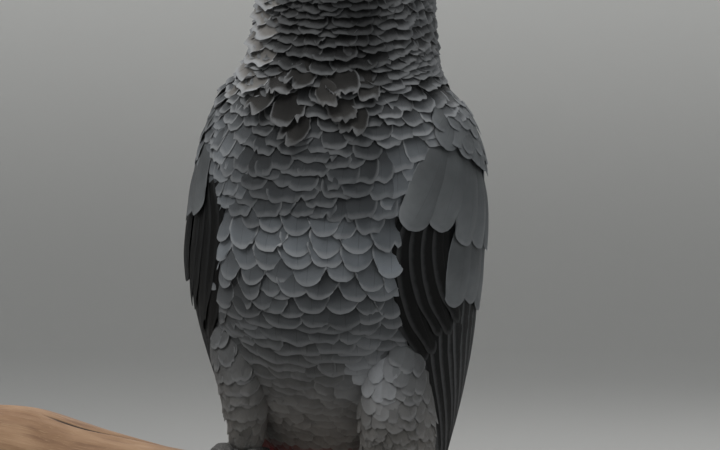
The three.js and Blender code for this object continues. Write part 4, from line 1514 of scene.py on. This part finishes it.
def body_skin():
    """Head, neck, trunk, thighs and the wings' arms, as far under the coat as it is deep."""
    shell = Shell()
    column = np.broadcast_to(np.arange(ROUND), body.points.shape[:2])
    depth = np.clip(0.34 * row_gap(body.points, column), 0.4, 2.0)
    depth = mix(depth, 0.3, bare_face(body.points))
    reach = from_eye(body.points)
    depth = depth + 6 * smoothstep(6.6, 4.6, reach) + 1.2 * smoothstep(12.5, 10.5, reach)
    shell.grid(body.points - body.normals * depth[..., None])
    points, normals = wing.points[2:78, 7:33], wing.normals[2:78, 7:33]
    inset = 2.4 + 0.02 * (WING_TOP - points[..., 2:])
    arm = np.concatenate([points - normals * inset, (points - normals * 11)[:, ::-1]], 1)
    for _, side in SIDES:
        shell.grid(arm * [side, 1, 1])
        shell.grid(thigh_points(side, -1.2))
    return one_skin("skin", shell, BIRD, 1.35, 6)


def lids():
    """The skin round both eyes: a rolled rim that rests on the ball, a furrow, and fine folds outside."""
    shell = Shell()
    turn = around(132)
    reach = 4.3 + 9.0 * np.linspace(0, 1, 52)[:, None] ** 1.5 + 0 * turn
    ball = np.sqrt(np.maximum(EYE["radius"] ** 2 - reach ** 2, 0))
    oval = 1 + 0.03 * np.cos(2 * turn)
    for _, side in SIDES:
        middle, out, up, across = eye_frame(side)
        circle = up * (np.cos(turn) / oval)[:, None] + across * np.sin(turn)[:, None]
        flat = middle + reach[..., None] * circle
        # each point moves along the eye's axis until it meets the body's surface
        skin = flat + out * 4
        for _ in range(5):
            place, normal = body.at(*locate(skin))
            skin = skin + out * (((place - skin) * normal).sum(-1) / (normal @ out))[..., None]
        level = (skin - middle) @ out - 0.25
        rim = mix(ball - 0.25, level + 0.5, smoothstep(4.25, 4.8, reach) ** 0.6)
        height = mix(rim, level - 0.35, smoothstep(4.95, 5.9, reach))
        height = mix(height, level, smoothstep(5.9, 7.4, reach))
        wobble = ripples(turn, seed=3 + side, low=2, high=6)
        broken = np.clip(0.5 + ripples(turn * 2, reach * 1.3, seed=13 + side), 0, 1)
        folds = np.sin(math.tau * (reach - 5.2) / 1.05 + 1.4 * wobble) * broken
        height = height + 0.09 * folds * smoothstep(5.4, 6.4, reach) * smoothstep(10.5, 7.5, reach)
        height = height - 0.9 * smoothstep(11, 13.2, reach)
        shell.grid(flat + out * height[..., None], caps=False, reach=reach)
    return shell


def nearest_on(paths, place):
    """Which of several paths is nearest to each place, how far along it, and the path's point there."""
    points = np.concatenate(paths)
    which = np.repeat(np.arange(len(paths)), [len(path) for path in paths])
    run = np.concatenate([np.cumsum(np.linalg.norm(np.diff(path, axis=0, prepend=path[:1]), axis=-1))
                          for path in paths])
    nearest = np.linalg.norm(place[:, None] - points[None], axis=-1).argmin(1)
    return which[nearest], run[nearest], points[nearest]


# ----
# Branch, feet and claws, in the branch's own frame: x along it, z = 0 on its upper side under the bird
PERCH = {"radius": 12, "left": 104, "right": 138, "grain": 0.7}
TOES = {
    # place across the foot, which way it points, splay outwards, reach round the branch, half thickness
    "inner_front": (-4.4, -1, -7, 84, 3.6),
    "outer_front": (4.4, -1, 7, 112, 3.9),
    "inner_back": (-4.4, 1, -9, 62, 3.5),
    "outer_back": (4.4, 1, 9, 104, 3.8),
}
CLAW = {"start": -7, "reach": 53, "girth": 2.3, "lift": 2.4}
SHANK = [(0, 0, 2), (0, 0.5, 9), (0, 2, 18), (0, 3, 26)]


def bark_radius(x, turn):
    """The branch's radius, with low lumps and a swelling near its left end as the camera sees it."""
    lumps = np.sin(x / 13 + 2 * turn) + np.sin(x / 29 - turn)
    swell = 1.8 * np.exp(-(((x + 108) / 16) ** 2))
    return PERCH["radius"] + PERCH["grain"] * lumps + swell


def round_branch(side, toe, start, stop, lift):
    """A path round the branch for one toe or claw. lift is its height over the bark at each step."""
    across, way, splay, _, _ = TOES[toe]
    turn = np.radians(mix(start, stop, np.linspace(0, 1, len(lift))))
    about = np.arctan2(np.cos(turn), way * np.sin(turn))
    reach = bark_radius(side * (FEET_APART / 2 + across), about) + lift
    y, z = way * reach * np.sin(turn), reach * np.cos(turn) - PERCH["radius"]
    yaw = math.radians(-way * splay)
    x = across - y * math.sin(yaw)
    return np.stack([side * (FEET_APART / 2 + x), y * math.cos(yaw), z], -1)


def outward(place):
    """Directions away from the branch's middle line."""
    return unit(place * [0, 1, 1] + [0, 0, PERCH["radius"]])


def sweep(path, wide, deep, columns):
    """A tube along a path over the branch: deep points away from the branch's middle."""
    ahead = unit(np.gradient(path, axis=0))
    side = unit(np.cross(ahead, outward(path)))
    return loft(path, side * wide[:, None], np.cross(side, ahead) * deep[:, None], columns)


def rounded_ends(t, power=10):
    return np.sqrt(np.maximum(0, 1 - abs(2 * t - 1) ** power)) + 1e-3


def toe_girth(t, girth):
    return girth * (1 + 0.1 * np.sin(4.2 * math.pi * t - 0.6) - 0.16 * t)


def foot_skin(side):
    """Shank, pad and four toes of one foot as one skin, scaled above and padded below."""
    shell, paths = Shell(), []
    foot = np.array([side * FEET_APART / 2, 0, 0])
    t = 0.5 - 0.5 * np.cos(np.linspace(0, math.pi, 48))
    for toe, (_, _, _, reach, girth) in TOES.items():
        thick = toe_girth(t, girth)
        paths.append(round_branch(side, toe, 6, reach, thick))
        shell.grid(sweep(paths[-1], thick * rounded_ends(t), thick * rounded_ends(t), 24))
    paths.append(through(SHANK, t) * [side, 1, 1] + foot)
    rise = np.linspace(-math.pi / 2, math.pi / 2, 24)
    pad = foot + [0, 0, 4.2] + np.array([0, 0, 4.4]) * np.sin(rise)[:, None]
    unit_x, unit_y = np.eye(3)[:1], np.eye(3)[1:2]
    for middle, size, wide, deep in ((paths[-1], 1 + 0.25 * smoothstep(0.3, 0, t), 4.1, 4.5),
                                     (pad, np.cos(rise), 7.6, 5.8)):
        shell.grid(loft(middle, unit_x * wide * size[:, None], unit_y * deep * size[:, None], 28))
    mesh = one_skin(f"foot_{side}", shell, BRANCH, 0.55, 3)
    place, normal = points_of(mesh, BRANCH), normals_of(mesh, BRANCH)
    which, run, centre = nearest_on(paths, place)
    # scales on the upper side of the toes and on the front of the shank, pads under the toes
    away = np.where((which == len(TOES))[:, None], [0.0, -1.0, 0.0], outward(place))
    top = smoothstep(-0.1, 0.55, (unit(place - centre) * away).sum(-1))
    plate = 2.35 * (1 + 0.1 * ripples(place[:, 0] / 9, seed=5))
    share = run / plate % 1
    scutes = 0.34 * (share - 0.5) * smoothstep(1.0, 0.88, share) - 0.12 * smoothstep(0.12, 0, share)
    pads = 0.22 * ripples(place[:, 0], place[:, 1], place[:, 2], seed=9, count=12, low=1.2, high=2.4)
    place = on_bark(place + normal * (scutes * top + pads * (1 - top) * 0.6)[:, None], 0.03)
    move_points(mesh, BRANCH, place)
    grey = 0.115 + 0.05 * (1 - top) + 0.04 * smoothstep(0.75, 0.95, share) * top
    paint(mesh, grey[:, None] * np.array([1.03, 1.0, 0.97]), 1.0)
    return mesh


def on_bark(place, clearance):
    """Lifts what would lie inside the branch onto its bark."""
    z = place[:, 2] + PERCH["radius"]
    turn, reach = np.arctan2(z, place[:, 1]), np.hypot(z, place[:, 1])
    held = np.maximum(reach, bark_radius(place[:, 0], turn) + clearance)
    y = place[:, 1] * held / reach
    return np.stack([place[:, 0], y, z * held / reach - PERCH["radius"]], -1)


def claws():
    t = np.linspace(0, 1, 34)
    for name, side in SIDES:
        for toe, (_, _, _, reach, girth) in TOES.items():
            slim = CLAW["girth"] * girth / 3.9 * np.sqrt(1 - 0.975 * t)
            lift = girth * 0.75 * (1 - t) + CLAW["lift"] * np.sin(math.pi * t) + 0.7
            start = reach + CLAW["start"]
            path = round_branch(side, toe, start, start + CLAW["reach"], lift)
            shell = Shell()
            deep = slim * rounded_ends(t * 0.5 + 0.02, 14)
            shell.grid(sweep(path, slim * 0.8, deep, 24), along=t[:, None])
            node = f"claw_{name}_{toe}"
            add_piece(f"{node}_horn", shell.mesh("claw", BRANCH), claw_material, "claw_horn", node)


def branch():
    """A weathered length of wood with its bark gone: long grain, drying cracks, and two sawn ends."""
    rows, twist_length, cracks = 380, 160, 11
    turn = around(176)
    x = np.linspace(-PERCH["right"], PERCH["left"], rows)[:, None]
    twist = turn + x / twist_length
    grain = ripples(twist * 3, x / 60, seed=21, count=9, low=1, high=4)
    fine = ripples(twist * 9, x / 25, seed=22, count=9, low=1, high=3)
    draw = np.random.default_rng(23)
    crack = np.zeros_like(twist)
    for _ in range(cracks):
        at, middle, half = draw.uniform(0, math.tau), draw.uniform(-128, 94), draw.uniform(9, 30)
        lean = at - x / twist_length + 0.05 * np.sin(x / 7 + at)
        gap = (turn - lean + math.pi) % math.tau - math.pi
        taper = np.sqrt(np.maximum(0, 1 - ((x - middle) / half) ** 2))
        crack = np.maximum(crack, taper * np.exp(-((gap * PERCH["radius"] / 0.55) ** 2)))
    end = np.minimum(x + PERCH["right"], PERCH["left"] - x)
    radius = bark_radius(x, turn) + 0.16 * grain + 0.09 * fine - 0.75 * crack - 0.8 * smoothstep(0.9, 0, end)
    side = np.stack([np.broadcast_to(x, radius.shape), radius * np.cos(turn), radius * np.sin(turn)], -1)
    # each sawn end is a stack of rings that shrink to its middle
    shrink = np.array([0.97, 0.8, 0.6, 0.4, 0.2, 0.06])[:, None, None] * [0, 1, 1] + [1, 0, 0]
    wood = np.concatenate([(side[0] * shrink)[::-1], side, side[-1] * shrink])
    flat = np.pad(np.zeros(rows), len(shrink), constant_values=1)[:, None]
    crack = np.pad(crack, ((len(shrink), len(shrink)), (0, 0)))
    shell = Shell()
    shell.grid(wood - [0, 0, PERCH["radius"]], end=flat, crack=crack,
               wood_x=wood[..., 0], wood_y=wood[..., 1], wood_z=wood[..., 2])
    add_piece("branch", shell.mesh("branch", BRANCH), wood_material, "bark", "perch")


# ----
# Bill: two horn sheaths as lofts between the lines of their edges, and the cere round the nostrils
BILL = {
    # y and z along the outer edge and along the inner edge in side view, and half the width on the way
    "upper": (
        [(-38, 213.5), (-49, 212.5), (-60, 210.5), (-70, 204.5), (-75.5, 195), (-75.3, 185), (-70.8, 174.5)],
        [(-38, 188.5), (-47, 188.5), (-55.5, 188), (-62.5, 187), (-67, 183.5), (-68.8, 179), (-70, 174.2)],
        [10.6, 10.8, 10.2, 8.6, 6.4, 3.8, 0.8],
    ),
    "lower": (
        [(-36, 171.6), (-46, 171.2), (-55, 173.4), (-62.4, 180)],
        [(-36, 188), (-46, 187.6), (-56, 187.2), (-63.6, 185)],
        [9.4, 9.8, 9, 5.4],
    ),
}
# Half of the bill's section, from the ridge round to the middle of the mouth, as shares of its half width
# and half height: its side edges hang past the hollow of the mouth.
BILL_SECTION = [
    (0, 1), (0.46, 0.87), (0.82, 0.46), (1, -0.1), (0.99, -0.6), (0.92, -0.94), (0.78, -1), (0.6, -0.8),
    (0, -0.64),
]


def bill_points(half, t, turn, grow=0.0):
    """Points of one half of the bill. turn is 0 on its ridge and half a turn on the side of the mouth."""
    outer, inner, width = BILL[half]
    a, b = through(outer, t), through(inner, t)
    wide = through(np.array(width)[:, None], t)[..., 0] + grow
    if half == "lower":
        wide = wide * np.sqrt(np.clip((1 - t) * 6, 0, 1))
        b = mix((a + b) / 2, b, np.sqrt(np.clip((1 - t) * 9, 0, 1))[:, None])
    share = abs((turn / math.pi + 1) % 2 - 1)
    edged = through(BILL_SECTION, share)
    plain = np.stack([np.sin(math.pi * share), np.cos(math.pi * share)], -1)
    tip = smoothstep(0.55, 0.85, t)[:, None, None] * (half == "upper")
    section = mix(edged, plain, tip)
    middle, up = (a + b) / 2, (a - b) / 2
    size = 1 + grow / np.linalg.norm(up, axis=-1)
    yz = middle[:, None] + up[:, None] * (section[..., 1] * size[:, None])[..., None]
    x = wide[:, None] * section[..., 0] * np.sign(np.sin(turn))
    return np.concatenate([x[..., None], yz], -1)


def bill():
    turn, t = around(96), np.linspace(0.0, 1, 120)
    for half in BILL:
        points = bill_points(half, t, turn)
        centre = points.mean(1, keepdims=True)
        uneven = 0.8 * ripples(turn, t[:, None] * 5, seed=31)
        layers = 0.1 * np.sin(t[:, None] * 46 + 1.2 * np.cos(turn) + uneven)
        layers = layers * smoothstep(1, 0.8, t)[:, None] * smoothstep(-0.9, -0.3, np.cos(turn))
        shell = Shell()
        shell.grid(points + unit(points - centre) * layers[..., None], along=t[:, None])
        add_piece(f"bill_{half}_horn", shell.mesh("bill", BIRD), bill_material, "bill_horn", f"bill_{half}")


def cere():
    """The bare swollen band over the bill's root, narrower down its sides, with a round nostril on each."""
    # how far the sheet under it reaches: a share of the bill's length, and an angle to each side
    length, angle = 0.4, 2
    rows, columns = 60, 160
    sheet = bill_points("upper", np.linspace(0, length, rows), np.linspace(-angle, angle, columns), -0.35)
    root = Surface(sheet, False, lambda p: p - [0, -50, FACE_Z])

    def place(t, turn):
        return root.at(t / length * (rows - 1), (turn + angle) / (2 * angle) * (columns - 1))

    turn, share = np.linspace(-1.5, 1.5, 150), np.linspace(0, 1, 56)[:, None]
    front = mix(0.225, 0.14, smoothstep(0.5, 1.45, abs(turn)))
    t = 0.06 + (front - 0.06) * share
    points, normal = place(t, turn + 0 * t)
    crest = np.sqrt(np.maximum(0, 1 - smoothstep(0.5, 1, share) ** 2))
    swell = 1.25 * crest + 0.1 * ripples(turn * 3, share * 6, seed=35) * crest
    swell = swell * smoothstep(1.5, 1.15, abs(turn))
    # the nostrils: a pit with a raised rim on each side
    pits = [place(np.array(0.166), np.array(side * 0.62))[0] for _, side in SIDES]
    reach = np.minimum(*(np.linalg.norm(points - pit, axis=-1) for pit in pits))
    swell = swell + 0.35 * np.exp(-(((reach - 1.9) / 0.6) ** 2)) - 1.7 * smoothstep(1.5, 0.8, reach)
    shell = Shell()
    shell.grid(points + normal * swell[..., None], closed=False, caps=False, reach=reach)
    return shell


# ----
# Eyes
def eyes():
    """Balls with a slightly bulging cornea. The map reach is the distance from the pupil's middle, mm."""
    lean, turn = np.linspace(0.004, 2.6, 72)[:, None], around(96)
    radius = EYE["radius"] + 0.25 * np.exp(-((lean / 0.5) ** 2)) - 0.02
    for name, side in SIDES:
        middle, out, up, across = eye_frame(side)
        circle = up * np.cos(turn)[:, None] + across * np.sin(turn)[:, None]
        ball = out * np.cos(lean)[..., None] + circle * np.sin(lean)[..., None]
        shell = Shell()
        shell.grid(middle + radius[..., None] * ball, reach=EYE["radius"] * lean)
        add_piece(f"eye_{name}_ball", shell.mesh("eye", BIRD), eye_material, "eye", f"eye_{name}")


# ----
# Stand: a turned base with a soft edge, and two steel rods with a collar at each foot
def turned(name, profile, middle, material, slot, sides, replaced):
    """A round piece from its outline as radius and height, mm."""
    radius, height = np.array(profile, float).T[..., None]
    turn = around(sides)
    ring = np.stack([radius * np.cos(turn), radius * np.sin(turn), height + 0 * turn], -1)
    shell = Shell()
    shell.grid(middle + ring)
    add_piece(name, shell.mesh(name, BASE), material, slot, replaced)


def stand():
    """The base and rods fit the boxes of their CAD solids, and the rods run a little way into the branch."""
    low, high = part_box("stand_base")
    radius, top = (high.x - low.x) / 2 / MM, high.z / MM
    soft = 2.4  # radius of the base's upper edge
    rings = [(r, top) for r in np.linspace(2, radius - soft - 0.2, 14)]
    edge = [(radius - soft + soft * math.sin(a), top - soft + soft * math.cos(a))
            for a in np.linspace(0, math.pi / 2, 12)]
    foot = [(radius, 0.8), (radius - 0.5, 0.15), (radius - 1, 0), (radius - 8, 0), (4, 0)]
    turned("stand_base_turned", rings + edge + foot, np.zeros(3), stand_material, "stand", 192, "stand_base")
    for name, _ in SIDES:
        node = f"stand_rod_{name}"
        low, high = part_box(node)
        centre = STAND.inverted() @ ((low + high) / 2)
        middle = np.array([centre.x / MM, centre.y / MM, 0])
        radius, foot, head = (high.x - low.x) / 2 / MM, low.z / MM, high.z / MM
        collar = [(radius + 2.6, foot - 0.2), (radius + 2.6, foot + 2.2), (radius + 2.1, foot + 2.9),
                  (radius, foot + 3.1)]
        shaft = [(radius, z) for z in np.linspace(foot + 3.4, head + 1.2, 10)]
        turned(f"{node}_polished", collar + shaft, middle, rod_material, "rod", 48, node)


def whole_skin():
    """One piece of all that is skin: the body under its coat, the lids, the cere and the feet."""
    body_mesh = body_skin()
    tint, face = skin_tint(points_of(body_mesh, BIRD))
    paint(body_mesh, tint, 0.4 * face)
    meshes = [body_mesh]
    for shell, rim in ((lids(), True), (cere(), False)):
        mesh = shell.mesh("face", BIRD)
        reach = np.concatenate(shell.maps["reach"])
        white, _ = skin_tint(points_of(mesh, BIRD))
        # dark where the lids meet the ball, the lids' own dark margin, and painted shade inside the
        # nostrils; the cere is greyer than the face
        dark = (smoothstep(4.95, 4.6, reach) if rim else smoothstep(1.5, 0.9, reach))[:, None]
        white = white if rim else 0.72 * BARE + 0 * white
        paint(mesh, mix(white, np.array([0.1, 0.09, 0.085]), dark), 0.4)
        meshes.append(mesh)
    meshes += [foot_skin(side) for _, side in SIDES]
    pieces = [link("skin", mesh) for mesh in meshes]
    with bpy.context.temp_override(active_object=pieces[0], selected_editable_objects=pieces):
        bpy.ops.object.join()
    skin = pieces[0]
    skin.data.materials.clear()
    skin.data.materials.append(skin_material)
    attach(skin, "root")
    flesh = ["head", "neck", "trunk"]
    for name, _ in SIDES:
        flesh += [f"thigh_{name}", f"shank_{name}"] + [f"toe_{name}_{toe}" for toe in TOES]
    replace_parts(skin, *flesh)


contour_coat()
face_coat()
ruffles()
for name, side in SIDES:
    wing_coverts(name, side)
    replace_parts(flight_feathers(name, side), f"wing_{name}")
    thigh_coat(name, side)
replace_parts(tail_feathers(), "tail")
whole_skin()
eyes()
bill()
claws()
branch()
stand()


# ----
# Camera, light and floor
CAMERA_TURN = math.radians(15)  # towards the bird's left
FRAME_WIDTH = 0.252  # what the view spans at the bird, m
LENS = 130
SENSOR = 36


def look(thing, spot, way):
    """Places a camera or a lamp so that it looks along a direction."""
    thing.location = spot
    thing.rotation_mode = "QUATERNION"
    thing.rotation_quaternion = way.to_track_quat("-Z", "Y")


def set_camera():
    data = bpy.data.cameras.new("camera")
    data.lens, data.sensor_width = LENS, SENSOR
    data.clip_start, data.clip_end = 0.05, 60
    camera = link("camera", data)
    right = Vector((math.cos(CAMERA_TURN), math.sin(CAMERA_TURN), 0))
    back = Vector((math.sin(CAMERA_TURN), -math.cos(CAMERA_TURN), 0))
    aim = LEANING @ Vector((0, 0, 89)) + right * 0.009
    look(camera, aim + back * (FRAME_WIDTH * LENS / SENSOR), -back)
    bpy.context.scene.camera = camera
    return aim, right, back


def add_area(name, spot, aim, size, power, colour):
    light = bpy.data.lights.new(name, "AREA")
    light.shape, light.size, light.energy, light.color = "DISK", size, power, colour
    look(link(name, light), spot, aim - spot)


def studio():
    """Soft light from three large lamps and a pale sky."""
    aim, right, back = set_camera()
    up = Vector((0, 0, 1))
    add_area("key", aim + back * 1.1 + up * 1.5 - right * 0.7, aim, 1.0, 19, (1, 0.985, 0.96))
    add_area("fill", aim + back * 1.2 + right * 1.5 + up * 0.5, aim, 1.4, 5, (0.93, 0.97, 1))
    add_area("rim", aim - back * 1.3 + right * 0.6 + up * 1.2, aim, 1.0, 12, (1, 1, 1))
    world = bpy.data.worlds.new("studio")
    bpy.context.scene.world = world
    world.use_nodes = True
    sky = world.node_tree.nodes["Background"].inputs
    sky["Color"].default_value, sky["Strength"].default_value = (0.95, 0.98, 1, 1), 0.68
    bpy.context.scene.view_settings.view_transform = "Standard"


def floor():
    """A wide floor that turns up into a plain pale wall all round, in metres; painted light and shade make
    the floor darker than the wall so both look alike under the lamps.
    """
    bend, wall = 1.6, 5.0
    profile = [(1.2, 0.0), (3.4, 0.0)]
    profile += [(wall - bend + bend * math.sin(a), bend - bend * math.cos(a))
                for a in np.linspace(0.05, math.pi / 2, 16)]
    profile += [(wall, 4.0)]
    mesh = bmesh.new()
    turn = around(96)
    rings = [[mesh.verts.new((r * math.cos(a), r * math.sin(a), z)) for a in turn] for r, z in profile]
    middle = mesh.verts.new((0, 0, 0))
    steps = [(k, (k + 1) % len(turn)) for k in range(len(turn))]
    for k, after in steps:
        mesh.faces.new((middle, rings[0][k], rings[0][after]))
    for low, high in zip(rings, rings[1:]):
        for k, after in steps:
            mesh.faces.new((low[k], high[k], high[after], low[after]))
    data = bpy.data.meshes.new("floor")
    mesh.to_mesh(data)
    mesh.free()
    smooth_faces(data)
    stage = link("floor", data)
    n = Nodes("floor")
    height = n.new("ShaderNodeSeparateXYZ", Vector=n.place()).outputs[2]
    # painted light and shade: the floor is painted dark and the wall pale, to even out the stronger light on
    # the floor
    colour = n.mix(n.step(height, 0.0, 1.2), (0.34, 0.336, 0.327), (0.87, 0.86, 0.835))
    data.materials.append(n.finish(Base_Color=colour, Roughness=0.9))


floor()
studio()
